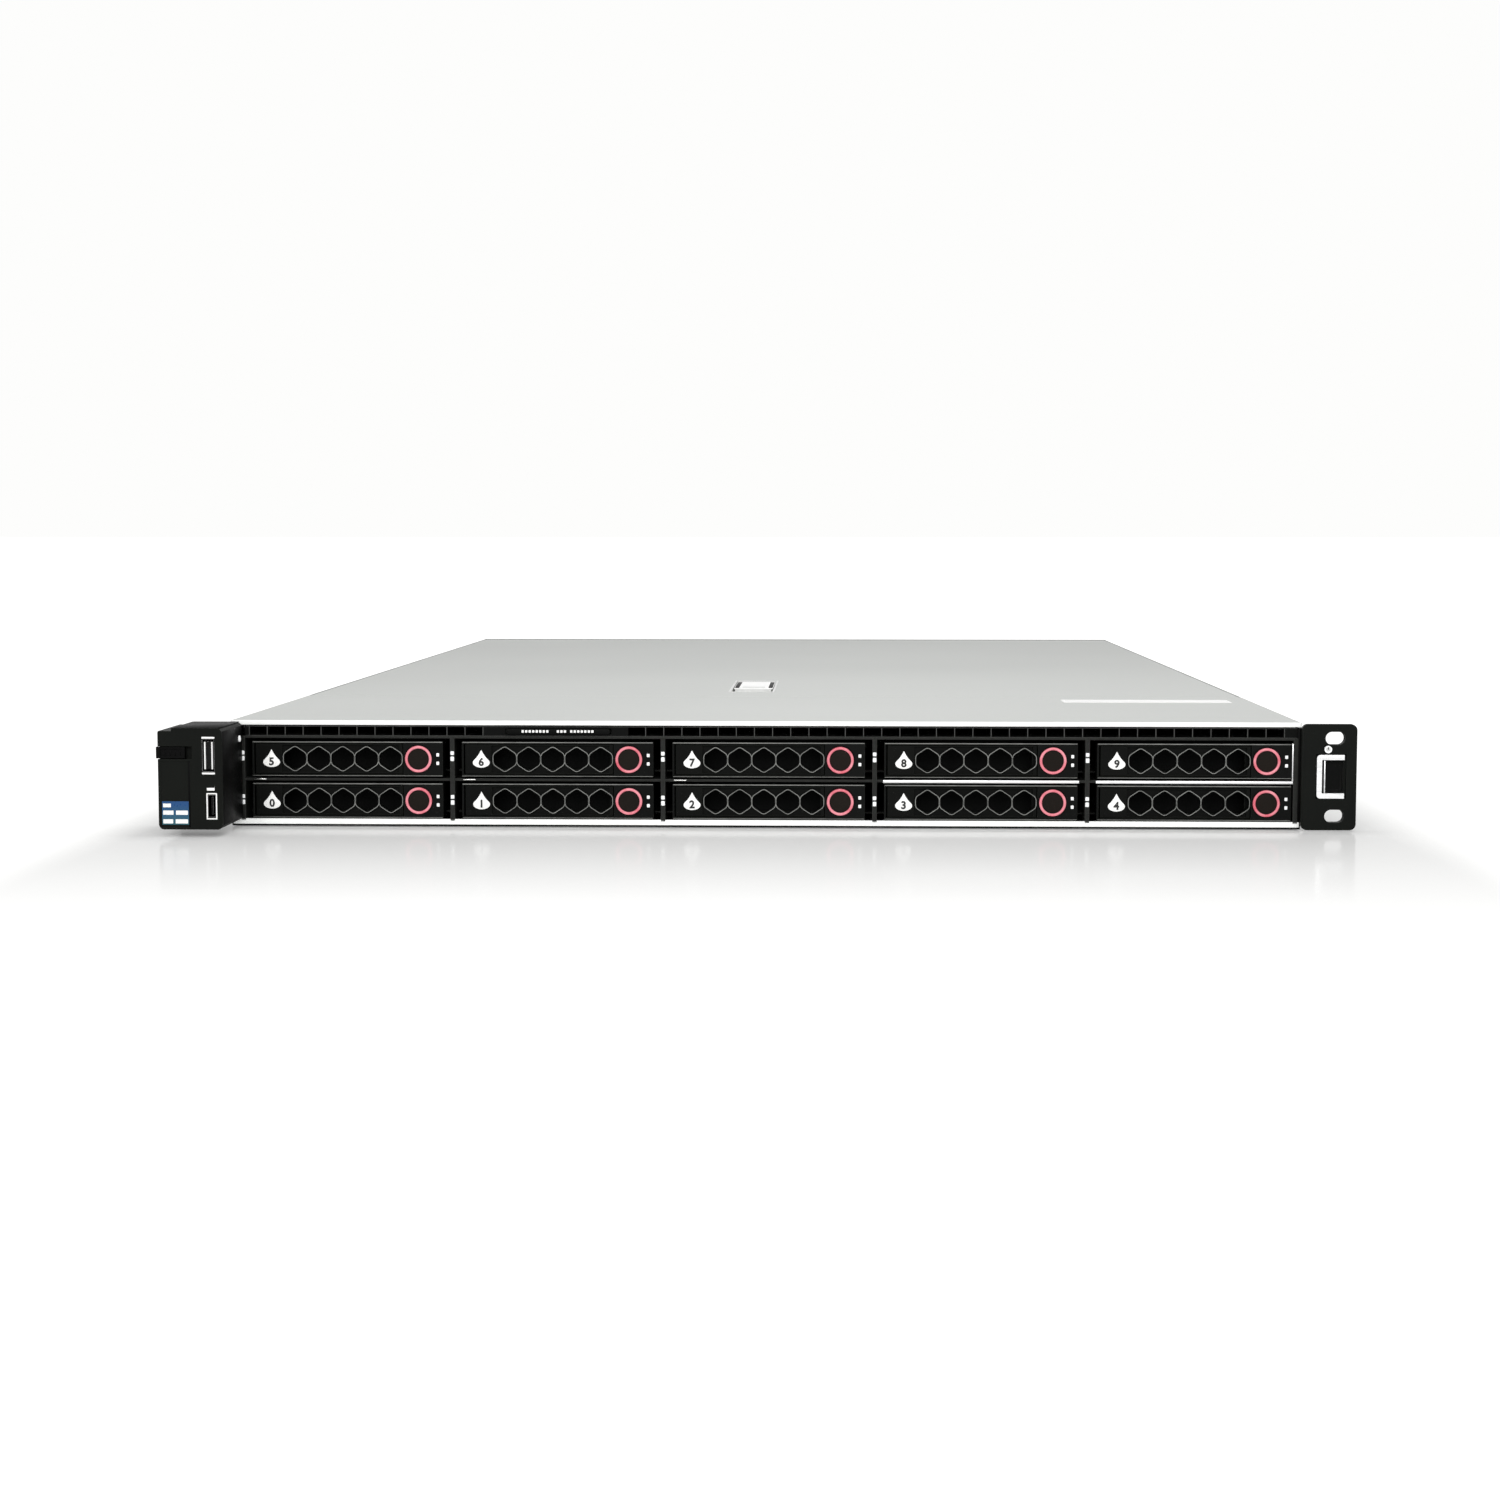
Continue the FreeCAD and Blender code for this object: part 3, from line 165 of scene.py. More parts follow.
def make_floor():
    """White acrylic: a faint mirror image by the machine, fading to plain white around it."""
    under_tray = -0.4 * MM
    bpy.ops.mesh.primitive_plane_add(size=60, location=(0, 0, under_tray))
    floor = bpy.context.object
    floor.name = "floor"
    paper = bpy.data.materials.new("white_acrylic_floor")
    paper.use_nodes = True
    tree = paper.node_tree
    tree.nodes.clear()
    path = add(tree, "ShaderNodeLightPath").outputs
    lit = add(tree, "ShaderNodeBsdfDiffuse", {"Color": linear("#F6F6F5")}).outputs[0]
    glow = add(tree, "ShaderNodeEmission", {"Color": linear("#FEFEFD"), "Strength": 1.2}).outputs[0]
    sheen = add(tree, "ShaderNodeBsdfGlossy", {"Color": (1, 1, 1, 1), "Roughness": 0.12}).outputs[0]
    away = beyond_footprint(tree)
    plain = spread(tree, away, 0.15, 1.0, 0.0, 0.35)
    wet = spread(tree, away, 0.18, 0.0, 0.0, 0.18)
    polished = mixed(tree, wet, mixed(tree, plain, lit, glow), sheen)
    final = mixed(tree, path["Is Camera Ray"], lit, polished)
    add(tree, "ShaderNodeOutputMaterial", None, {"Surface": final})
    floor.data.materials.append(paper)


def make_studio():
    """Surroundings, floor and three soft lamps; the rear one is kept out of reflections."""
    make_world()
    make_floor()
    make_light("overhead", (0.03, -0.32, 0.62), (0.03, -0.2, 0.0), (0.4, 0.3), 1.12)
    make_light("front_fill", (0.0, -1.9, 0.62), (0.0, -0.4, 0.02), (1.5, 0.6), 12.0)
    make_light("rear_fill", (0.0, 1.9, 0.8), (0.0, 0.4, 0.02), (0.9, 0.8), 9.0, False)


# ---------------------------------------------------------------- materials

def surface(name, metallic=0.0, specular=None):
    """A material with object coordinates and one physically based shader."""
    finish = bpy.data.materials.new(name)
    finish.use_nodes = True
    tree = finish.node_tree
    tree.nodes.clear()
    place = add(tree, "ShaderNodeTexCoord").outputs["Object"]
    settings = {"Metallic": metallic}
    if specular is not None:
        settings["Specular IOR Level"] = specular
    shader = add(tree, "ShaderNodeBsdfPrincipled", settings)
    add(tree, "ShaderNodeOutputMaterial", None, {"Surface": shader.outputs[0]})
    return finish, tree, place, shader


def speckle(tree, place, size, detail=2.0, stretch=None):
    """Noise whose grains are about one size in metres, stretched along an axis if asked."""
    if stretch:
        place = add(tree, "ShaderNodeMapping", {"Scale": stretch}, {"Vector": place}).outputs[0]
    return add(tree, "ShaderNodeTexNoise", {"Scale": 0.5 / size, "Detail": detail},
               {"Vector": place}).outputs["Fac"]


def blend_colours(tree, value, first, second):
    """A colour between two, by a pattern. Each is a hex value or a socket."""
    settings = {"data_type": "RGBA"}
    links = {0: value}
    for index, colour in ((6, first), (7, second)):
        if isinstance(colour, str):
            settings[index] = linear(colour)
        else:
            links[index] = colour
    return add(tree, "ShaderNodeMix", settings, links).outputs[2]


def edge_light(tree, radius):
    """How near a point is to an edge, from 0 to 1, the mask for the painted edge highlight, and the
    rounded normal there.
    """
    rounded = add(tree, "ShaderNodeBevel", {"samples": 6, "Radius": radius}).outputs[0]
    flat = add(tree, "ShaderNodeNewGeometry").outputs["Normal"]
    match = add(tree, "ShaderNodeVectorMath", {"operation": "DOT_PRODUCT"}, {0: rounded, 1: flat})
    return spread(tree, match.outputs["Value"], 1.0, 0.0, 0.72, 0.995), rounded


def coat(tree, shader, colour, rough, height, depth, normal=None):
    """Gives a shader its colour and roughness, and a relief by a pattern, its depth in metres."""
    tree.links.new(colour, shader.inputs["Base Color"])
    tree.links.new(rough, shader.inputs["Roughness"])
    links = {"Height": height}
    if normal:
        links["Normal"] = normal
    bump = add(tree, "ShaderNodeBump", {"Strength": 1.0, "Distance": depth}, links)
    tree.links.new(bump.outputs[0], shader.inputs["Normal"])


def worn_coat(tree, shader, body, edge, radius, rough, height, depth):
    """A coat with a painted highlight: it turns paler towards the piece's edges, which look rounded
    by a radius.
    """
    near, rounded = edge_light(tree, radius)
    coat(tree, shader, blend_colours(tree, near, body, edge), rough, height, depth, rounded)


def lid_paint():
    """Zinc-plated lid steel under clear satin lacquer: pale grey, faintly mottled, softly shiny."""
    finish, tree, place, shader = surface("satin_lacquered_steel_lid", 0.0, 0.3)
    cloud = spread(tree, speckle(tree, place, 90 * MM, 1.0), 0, 1)
    peel = speckle(tree, place, 0.9 * MM)
    body = blend_colours(tree, cloud, "#D1D3D0", "#D5D7D4")
    rough = spread(tree, peel, 0.5, 0.58)
    # The pale edge colour is a painted highlight.
    worn_coat(tree, shader, body, "#F4F5F3", 0.5 * MM, rough, peel, 0.0015 * MM)
    return finish


def spangled_steel(name, dark, pale, rough):
    """Hot-dip galvanised sheet: flat crystals about 5 mm wide, each with its own dull shine."""
    finish, tree, place, shader = surface(name, 0.85)
    cells = add(tree, "ShaderNodeTexVoronoi", {"Scale": 1 / (5 * MM)}, {"Vector": place})
    tone = add(tree, "ShaderNodeSeparateColor", None, {0: cells.outputs["Color"]}).outputs[0]
    scratch = speckle(tree, place, 0.5 * MM, 3.0, (1.0, 0.05, 1.0))
    body = blend_colours(tree, tone, dark, pale)
    shine = spread(tree, tone, *rough, 0, 1)
    # The pale edge colour is a painted highlight.
    worn_coat(tree, shader, body, "#F7F8F7", 0.4 * MM, shine, scratch, 0.003 * MM)
    return finish


def moulded_black(name, dark, pale, edge, grain=0.35 * MM):
    """Injection-moulded black plastic: a spark-eroded grain breaks up its shine, and the edges are
    paler, a painted highlight.
    The grain, some 0.05 mm in life, is drawn coarser so that it shows."""
    finish, tree, place, shader = surface(name, 0.0, 0.07)
    cloud = spread(tree, speckle(tree, place, 14 * MM), 0, 1)
    fine = speckle(tree, place, grain)
    body = blend_colours(tree, cloud, dark, pale)
    rough = spread(tree, fine, 0.42, 0.58)
    worn_coat(tree, shader, body, edge, 0.35 * MM, rough, fine, 0.012 * MM)
    return finish


def powder_black():
    """Black powder coat on steel: fine orange peel and a slightly grey face."""
    finish, tree, place, shader = surface("powder_coated_steel", 0.0, 0.16)
    peel = speckle(tree, place, 0.7 * MM)
    body = blend_colours(tree, spread(tree, peel, 0, 1), "#1E1F1D", "#282927")
    rough = spread(tree, peel, 0.4, 0.55)
    # The grey edge colour is a painted highlight.
    worn_coat(tree, shader, body, "#4E4F4C", 0.4 * MM, rough, peel, 0.015 * MM)
    return finish


def bright_metal(name, dark, pale, rough, stretch, grain=0.35 * MM):
    """Bare or plated metal, drawn out along one axis so that the light streaks across it. The
    lines, under 0.1 mm in life, are drawn coarser so that they show."""
    finish, tree, place, shader = surface(name, 1.0)
    lines = speckle(tree, place, grain, 3.0, stretch)
    body = blend_colours(tree, spread(tree, lines, 0, 1), dark, pale)
    shine = spread(tree, lines, rough * 0.8, rough * 1.25)
    # The near-white edge colour is a painted highlight.
    worn_coat(tree, shader, body, "#FBFBFA", 0.2 * MM, shine, lines, 0.002 * MM)
    return finish


def gloss_plastic(name, dark, pale, rough, glow=0.0):
    """Smooth moulded plastic, faintly uneven in tone; some glow a little, a painted glow except on
    lit lamp lenses.
    """
    finish, tree, place, shader = surface(name, 0.0, 0.5)
    cloud = speckle(tree, place, 3 * MM)
    colour = blend_colours(tree, spread(tree, cloud, 0, 1), dark, pale)
    if glow:
        tree.links.new(colour, shader.inputs["Emission Color"])
        shader.inputs["Emission Strength"].default_value = glow
    coat(tree, shader, colour, spread(tree, cloud, rough * 0.85, rough * 1.2), cloud, 0.01 * MM)
    return finish


def solder_mask():
    """Green solder mask: copper tracks show as a slightly paler grid under the gloss. They are
    drawn 9 mm apart, about ten times as far as in life, so that they show."""
    finish, tree, place, shader = surface("solder_mask_on_glass_fibre", 0.0, 0.5)
    settings = {"Scale": 1 / (9 * MM), "Mortar Size": 0.08, "Color1": linear("#0E3A22"),
                "Color2": linear("#0A301B"), "Mortar": linear("#1D5A36")}
    tracks = add(tree, "ShaderNodeTexBrick", settings, {"Vector": place}).outputs
    rough = spread(tree, speckle(tree, place, 0.8 * MM), 0.24, 0.38)
    coat(tree, shader, tracks["Color"], rough, tracks["Fac"], -0.03 * MM)
    return finish


def banded_label():
    """Blue polyester label film that turns teal towards its foot."""
    finish, tree, place, shader = surface("blue_label_film", 0.0, 0.5)
    high = add(tree, "ShaderNodeSeparateXYZ", None, {0: place}).outputs["Z"]
    rise = spread(tree, high, 0, 1, left_low.z + 2 * MM, left_low.z + 10 * MM)
    grain = speckle(tree, place, 0.3 * MM)
    body = blend_colours(tree, rise, "#2A6470", "#0E4C86")
    coat(tree, shader, body, spread(tree, grain, 0.26, 0.36), grain, 0.002 * MM)
    return finish


def copied_shader(source, tree):
    """Copies a finish's nodes into another tree and gives back its shader's output."""
    made = {}
    for item in source.node_tree.nodes:
        if item.bl_idname == "ShaderNodeOutputMaterial":
            continue
        twin = tree.nodes.new(item.bl_idname)
        for setting in ("operation", "data_type", "samples"):
            if hasattr(item, setting):
                setattr(twin, setting, getattr(item, setting))
        for index, socket in enumerate(item.inputs):
            if hasattr(socket, "default_value") and not socket.is_linked:
                twin.inputs[index].default_value = socket.default_value
        made[item.name] = twin
        if item.bl_idname == "ShaderNodeBsdfPrincipled":
            shader = twin
    for link in source.node_tree.links:
        if link.to_node.name in made:
            start = list(link.from_node.outputs).index(link.from_socket)
            end = list(link.to_node.inputs).index(link.to_socket)
            tree.links.new(made[link.from_node.name].outputs[start],
                           made[link.to_node.name].inputs[end])
    return shader.outputs[0]


def two_part(name, front, behind, split):
    """One finish in front of a plane across Y and another behind it, for a node made of two."""
    finish = bpy.data.materials.new(name)
    finish.use_nodes = True
    tree = finish.node_tree
    tree.nodes.clear()
    first, second = [copied_shader(source, tree) for source in (front, behind)]
    place = add(tree, "ShaderNodeTexCoord").outputs["Object"]
    depth = add(tree, "ShaderNodeSeparateXYZ", None, {0: place}).outputs["Y"]
    past = add(tree, "ShaderNodeMath", {"operation": "GREATER_THAN", 1: split}, {0: depth})
    both = mixed(tree, past.outputs[0], first, second)
    add(tree, "ShaderNodeOutputMaterial", None, {"Surface": both})
    return finish


# ---------------------------------------------------------------- modelling

def clear():
    """Leaves edit mode with nothing selected."""
    if bpy.context.object and bpy.context.object.mode != "OBJECT":
        bpy.ops.object.mode_set(mode="OBJECT")
    bpy.ops.object.select_all(action="DESELECT")


def take(piece):
    """Makes one piece the only one selected."""
    clear()
    piece.select_set(True)
    bpy.context.view_layer.objects.active = piece


def settle(name):
    """Names the new piece and puts its place into its mesh."""
    piece = bpy.context.object
    piece.name = name
    piece.data.name = name
    bpy.ops.object.transform_apply(location=True, rotation=True, scale=True)
    return piece


def soften(piece, width, steps=2, angle=40):
    """Rounds a piece's sharp edges."""
    take(piece)
    bevel = piece.modifiers.new("soften", "BEVEL")
    bevel.width = width
    bevel.segments = steps
    bevel.limit_method = "ANGLE"
    bevel.angle_limit = math.radians(angle)
    bpy.ops.object.modifier_apply(modifier=bevel.name)
    bpy.ops.object.shade_smooth_by_angle(angle=math.radians(35))
    return piece


def slab(name, low, high, soft=0.0, steps=2):
    """A block between two corners, with softened edges."""
    clear()
    low, high = Vector(low), Vector(high)
    bpy.ops.mesh.primitive_cube_add(size=1, location=(low + high) / 2)
    bpy.context.object.scale = high - low
    piece = settle(name)
    return soften(piece, soft, steps) if soft else piece


TURN = {"x": (0, math.radians(90), 0), "y": (math.radians(90), 0, 0)}


def disc(name, centre, radius, thick, way="y", sides=32, soft=0.0, steps=2):
    """A short round bar about a centre, along x or y."""
    clear()
    bpy.ops.mesh.primitive_cylinder_add(vertices=sides, radius=radius, depth=thick,
                                        location=centre, rotation=TURN[way])
    piece = settle(name)
    return soften(piece, soft, steps) if soft else piece


def pick(piece, wanted):
    """Edit mode, with only the faces selected whose centre and normal pass the test."""
    take(piece)
    mesh = piece.data
    flags = [bool(wanted(face.center, face.normal)) for face in mesh.polygons]
    mesh.vertices.foreach_set("select", [False] * len(mesh.vertices))
    mesh.edges.foreach_set("select", [False] * len(mesh.edges))
    mesh.polygons.foreach_set("select", flags)
    bpy.ops.object.mode_set(mode="EDIT")
    bpy.ops.mesh.select_mode(type="FACE")


def pick_corners(piece, wanted):
    """Edit mode, with only the corners selected that pass the test."""
    take(piece)
    mesh = piece.data
    flags = [bool(wanted(corner.co)) for corner in mesh.vertices]
    mesh.polygons.foreach_set("select", [False] * len(mesh.polygons))
    mesh.edges.foreach_set("select", [False] * len(mesh.edges))
    mesh.vertices.foreach_set("select", flags)
    bpy.ops.object.mode_set(mode="EDIT")
    bpy.ops.mesh.select_mode(type="VERT")


def stretch_corners(piece, wanted, scale):
    """Stretches the corners that pass the test about their own middle."""
    pick_corners(piece, wanted)
    bpy.ops.transform.resize(value=scale)
    bpy.ops.object.mode_set(mode="OBJECT")


def draw_up(piece, wanted, lift, reach):
    """Draws the corners that pass the test upwards, and their neighbours less and less."""
    pick_corners(piece, wanted)
    bpy.ops.transform.translate(value=(0, 0, lift), use_proportional_edit=True,
                                proportional_edit_falloff="SHARP", proportional_size=reach)
    bpy.ops.object.mode_set(mode="OBJECT")


def turn_outwards():
    """In edit mode, points every face outwards and leaves edit mode."""
    bpy.ops.mesh.select_all(action="SELECT")
    bpy.ops.mesh.normals_make_consistent(inside=False)
    bpy.ops.object.mode_set(mode="OBJECT")


def thicken(depth):
    """In edit mode, extrudes a flat outline along Y into a closed body."""
    bpy.ops.mesh.select_all(action="SELECT")
    bpy.ops.mesh.extrude_region_move(TRANSFORM_OT_translate={"value": (0, depth, 0)})
    turn_outwards()


def sink(piece, wanted, rim, depth):
    """Insets the wanted faces by a rim and pushes them in by a depth."""
    pick(piece, wanted)
    bpy.ops.mesh.inset(thickness=rim, depth=0)
    bpy.ops.mesh.inset(thickness=min(rim, 0.05 * MM), depth=-depth)
    bpy.ops.object.mode_set(mode="OBJECT")
    return piece


def facing(axis, sign):
    """A test for the flat faces that look straight along an axis."""
    return lambda centre, normal: normal[axis] * sign > 0.999


def cut_through(piece, axis, rim, soft=0.0):
    """Opens a piece along an axis: its two ends are inset by a rim and bridged."""
    pick(piece, lambda at, normal: abs(normal[axis]) > 0.9)
    bpy.ops.mesh.inset(thickness=rim, depth=0)
    bpy.ops.mesh.bridge_edge_loops()
    bpy.ops.object.mode_set(mode="OBJECT")
    return soften(piece, soft) if soft else piece


def slant(piece, lift):
    """Moves the right end of a piece up or down."""
    pick(piece, facing(0, 1))
    bpy.ops.transform.translate(value=(0, 0, lift))
    bpy.ops.object.mode_set(mode="OBJECT")
    return piece


def hollow_ring(name, centre, outer, inner, thick, sides=40, soft=0.0):
    """A flat ring across Y."""
    return cut_through(disc(name, centre, outer, thick, "y", sides), 1, outer - inner, soft)


def copy_of(piece, name, move):
    """A copy with its own mesh, moved by a vector."""
    made = piece.copy()
    made.data = piece.data.copy()
    made.name = name
    made.data.name = name
    made.data.transform(Matrix.Translation(Vector(move)))
    bpy.context.scene.collection.objects.link(made)
    return made


def joined(name, parts):
    """Several pieces made one."""
    clear()
    for part in parts:
        part.select_set(True)
    bpy.context.view_layer.objects.active = parts[0]
    bpy.ops.object.join()
    piece = bpy.context.object
    piece.name = name
    piece.data.name = name
    return piece


def slabs(name, corners, soft, steps=2):
    """Several blocks, each between two corners, made one piece."""
    return joined(name, [slab("block", low, high, soft, steps) for low, high in corners])


def scatter(name, master, places):
    """Copies of a small piece at several places, joined; the master itself is the first."""
    parts = [master]
    for index, move in enumerate(places[1:]):
        parts.append(copy_of(master, f"{name}_{index}", Vector(move) - Vector(places[0])))
    return joined(name, parts)


def dress(piece, finish, body="root"):
    """Gives a piece its finish and its body."""
    piece.data.materials.clear()
    piece.data.materials.append(finish)
    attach(piece, body)


def trim(name, low, high, soft, finish, body="root", steps=2):
    """A softened block between two corners, dressed."""
    dress(slab(name, low, high, soft, steps), finish, body)


def share_out(masters, moves, first=0):
    """Copies each master to every place, numbered, dressed and on its body; then removes it."""
    for number, move in enumerate(moves, first):
        for name, master, finish, body, slot in masters:
            piece = copy_of(master, f"{name}_{number}", move)
            dress(piece, finish, body.format(number))
    for _, master, *_ in masters:
        bpy.data.objects.remove(master)


def numeral(name, word, centre, tall):
    """A plain bold figure as a thin mesh that faces the front."""
    half_thick, bolder = 0.06 * MM, 0.16 * MM
    clear()
    bpy.ops.object.text_add(location=centre, rotation=TURN["y"])
    text = bpy.context.object
    text.data.body = word
    text.data.size = tall
    text.data.align_x = "CENTER"
    text.data.align_y = "CENTER"
    text.data.extrude = half_thick
    text.data.offset = bolder
    text.data.resolution_u = 3
    take(text)
    bpy.ops.object.convert(target="MESH")
    return settle(name)


# ---------------------------------------------------------------- finishes in use

ALONG_Y = (1.0, 0.1, 1.0)
EVEN = (1.0, 1.0, 1.0)

# Painted and plated sheet: pale and quiet, with single crystals that catch the light in turn.
LID = lid_paint()
GALVANISED = spangled_steel("galvanised_steel_sheet", "#C3C5C4", "#D6D8D7", (0.36, 0.46))
SUPPLY_STEEL = spangled_steel("plated_supply_case_steel", "#A9ABAA", "#CFD1D0", (0.3, 0.45))
POWDER = powder_black()

# Matt mouldings: deep black with no clear reflection, grey only along the edges, a painted
# highlight.
EAR_BLACK = moulded_black("moulded_abs_ear", "#101210", "#161815", "#2A2C29")
STRIP_BLACK = moulded_black("moulded_abs_vent_strip", "#050605", "#090A09", "#1E1F1D")
SLED_BLACK = moulded_black("glass_filled_nylon_sled", "#0A0B0A", "#101110", "#30322E", 0.3 * MM)
LEVER_BLACK = moulded_black("glass_filled_nylon_lever", "#070807", "#0E0F0D", "#262824", 0.3 * MM)
FAN_BLACK = moulded_black("glass_filled_pbt_fan", "#151515", "#1D1D1D", "#333333", 0.4 * MM)
GRIP_BLACK = moulded_black("moulded_nylon_grip", "#1B1B1B", "#242424", "#454545", 0.4 * MM)
BUTTON_BLACK = moulded_black("black_polycarbonate_button", "#1B1713", "#221D19", "#2E2926",
                             0.3 * MM)
# Near-black for the release catch, and for painted shade: the ear's top and inner faces, its panel
# groove, the latch's end gaps and the line under the floor's lip.
BLACK_AND_PAINTED_SHADE = moulded_black("matt_black_moulding_and_painted_shade", "#030303", "#060606", "#0E0E0E")

# Metals: bright where they face a lamp, streaked along the way they were drawn, or evenly cast.
NICKEL = bright_metal("nickel_plated_steel", "#D6D6D2", "#ECECE8", 0.2, ALONG_Y)
TRIM = bright_metal("satin_anodised_aluminium", "#F1F2F2", "#FDFDFD", 0.36, (0.06, 1.0, 1.0))
FINS = bright_metal("extruded_aluminium", "#B9BBBD", "#D4D6D8", 0.34, (1.0, 0.05, 1.0))
SCREW_ZINC = bright_metal("bright_zinc_plate", "#C6C8C6", "#E4E6E4", 0.26, EVEN, 1.2 * MM)
GOLD = bright_metal("gold_flashed_contact", "#C9A24A", "#E2C06A", 0.25, ALONG_Y)
ALUMINIUM_CASE = bright_metal("cast_aluminium_disk_case", "#A6A8AA", "#C2C4C6", 0.38, EVEN, 2 * MM)
SOCKET_DARK = bright_metal("black_nickel_socket_shell", "#1A1A1A", "#262626", 0.35, ALONG_Y)

# Smooth plastics, films and prints: clean, even colours. Lenses, rings, bright prints, labels and
# hems glow a little, a painted glow, as none of them is a lamp; the green lamp lenses glow as lit
# lamps.
RING_RED = gloss_plastic("red_polycarbonate_ring", "#D25E6D", "#EA96A1", 0.3, 0.3)
LENS_WHITE = gloss_plastic("milky_light_pipe", "#E9EBEB", "#F8F9F9", 0.25, 0.35)
PRINT_WHITE = gloss_plastic("white_tampo_print", "#F1F1EF", "#FBFBF9", 0.45, 0.25)
LABEL_WHITE = gloss_plastic("white_polyester_label", "#F3F3F1", "#FCFCFB", 0.35, 0.12)
# White with a glow for the lid's and floor's front hems: a painted highlight on the folded steel
# edges.
HEM_HIGHLIGHT_WHITE = gloss_plastic("glowing_hem_highlight", "#F4F5F3", "#FCFDFB", 0.4, 0.3)
# A grey for painted highlights: the rims of the lever's cells and the edges of the sleds' faces.
HIGHLIGHT_GREY = gloss_plastic("painted_edge_highlight_grey", "#6E6F6C", "#90918D", 0.45)
# A grey for painted highlights along the vent strip's rib edges.
RIB_HIGHLIGHT_GREY = gloss_plastic("painted_rib_edge_highlight", "#3C3D3B", "#4B4C49", 0.5)
SEAM_GREY = gloss_plastic("grey_folded_edge", "#8E908E", "#9B9D9B", 0.5)
PALE_PLASTIC = gloss_plastic("pale_grey_abs", "#DEDFDD", "#ECEDEB", 0.4)
LATCH_RED = gloss_plastic("terracotta_touch_point", "#8E3A26", "#A4462F", 0.35)
LAMP_GREEN = gloss_plastic("green_lamp_lens", "#2DA34B", "#4CC267", 0.2, 0.5)
INK_BLACK = gloss_plastic("black_print", "#141414", "#1E1E1E", 0.5)
CHIP_BLACK = gloss_plastic("epoxy_chip_case", "#18191B", "#222325", 0.5)
BOARD = solder_mask()
BLUE_FILM = banded_label()

# Nodes of two materials: a nylon bezel before its disk, a steel case before its nylon grip.
SLED_AND_DISK = two_part("nylon_bezel_and_cast_disk", SLED_BLACK, ALUMINIUM_CASE,
                         DRIVE_FACE + 17.5 * MM)
SUPPLY = two_part("plated_case_and_nylon_grip", SUPPLY_STEEL, GRIP_BLACK, REAR_FACE + 0.05 * MM)

NODE_FINISH = {
    "chassis_tray": GALVANISED, "drive_cage": POWDER, "vent_strip": STRIP_BLACK,
    "front_cover": LID, "top_cover": LID, "cover_latch": PALE_PLASTIC,
    "ear_brackets": POWDER, "left_ear": EAR_BLACK, "right_ear": EAR_BLACK,
    "left_release_catch": BLACK_AND_PAINTED_SHADE, "front_ports": SOCKET_DARK, "right_release_lever": TRIM,
    "power_button": PALE_PLASTIC, "info_tag": STRIP_BLACK, "backplane": BOARD,
    "motherboard": BOARD, "memory_modules": CHIP_BLACK, "heatsinks": FINS,
    "fan_frames": FAN_BLACK, "rear_ports": NICKEL, "fasteners": SCREW_ZINC,
    "psu_latch_1": LATCH_RED, "psu_latch_2": LATCH_RED, "psu_1": SUPPLY, "psu_2": SUPPLY,
}
REPEATED_FINISH = {"drive_carrier": SLED_AND_DISK, "drive_lever": LEVER_BLACK,
                   "drive_button": BUTTON_BLACK, "fan_rotor": FAN_BLACK}


def dress_frame():
    """Gives every CAD node its finish."""
    for name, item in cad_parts.items():
        finish = NODE_FINISH.get(name) or REPEATED_FINISH[name.rsplit("_", 1)[0]]
        for index in range(len(item.data.materials)):
            item.data.materials[index] = finish
        if not item.data.materials:
            item.data.materials.append(finish)


# ---------------------------------------------------------------- drives

CELLS = 5
CELL_FIRST = 16.3 * MM
CELL_PITCH = 9.9 * MM
CELL_POINT = 5.55 * MM
CELL_LINE = 0.3 * MM
CELL_WIDEN = 1.045
CELL_SHOULDER = 0.8
CELL_ROUND = 1.15 * MM
TAG_RADIUS = 2.75 * MM
RING_MIDDLE = 4.95 * MM
RING_BAR = 0.56 * MM
DISK_FRONT = DRIVE_FACE + 16 * MM


def bay_move(bay):
    """The way from the first bay to another."""
    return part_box(f"drive_carrier_{bay}")[0] - bay_low


def flat_outline(name, sides, radius, centre):
    """A flat polygon that faces the front."""
    clear()
    bpy.ops.mesh.primitive_circle_add(vertices=sides, radius=radius, fill_type="NGON",
                                      location=centre, rotation=TURN["y"])
    return settle(name)


def cell_outlines():
    """Thin grey hexagon lines on the lever's ribs, painted highlights on the rims of its cells,
    their corners a little rounded.
    """
    cells = []
    for index in range(CELLS):
        across = lever_low.x + CELL_FIRST + index * CELL_PITCH
        cell = flat_outline("cell", 6, CELL_POINT, (across, lever_low.y - 0.12 * MM, LEVER_MIDDLE))
        stretch_corners(cell, lambda at: abs(at.x - across) > 1 * MM,
                        (CELL_WIDEN, 1, CELL_SHOULDER))
        bpy.ops.object.mode_set(mode="EDIT")
        bpy.ops.mesh.select_all(action="SELECT")
        bpy.ops.mesh.bevel(offset=CELL_ROUND, segments=3, affect="VERTICES")
        pick(cell, lambda at, normal: True)
        bpy.ops.mesh.inset(thickness=CELL_LINE, depth=0)
        bpy.ops.mesh.delete(type="FACE")
        thicken(0.2 * MM)
        cells.append(cell)
    return joined("cell_lines", cells)


def bay_tag():
    """A small white tag shaped like a drop with a drawn-out top, on the lever's left end."""
    belly = LEVER_MIDDLE - 1.4 * MM
    tag = flat_outline("bay_tag", 32, TAG_RADIUS, (TAG_ACROSS, lever_low.y, belly))
    stretch_corners(tag, lambda at: True, (1.27, 1, 0.76))
    draw_up(tag, lambda at: at.z > belly + 2.05 * MM, 3.2 * MM, 3.1 * MM)
    pick(tag, lambda at, normal: True)
    thicken(-0.45 * MM)
    return soften(tag, 0.12 * MM, 2, 50)


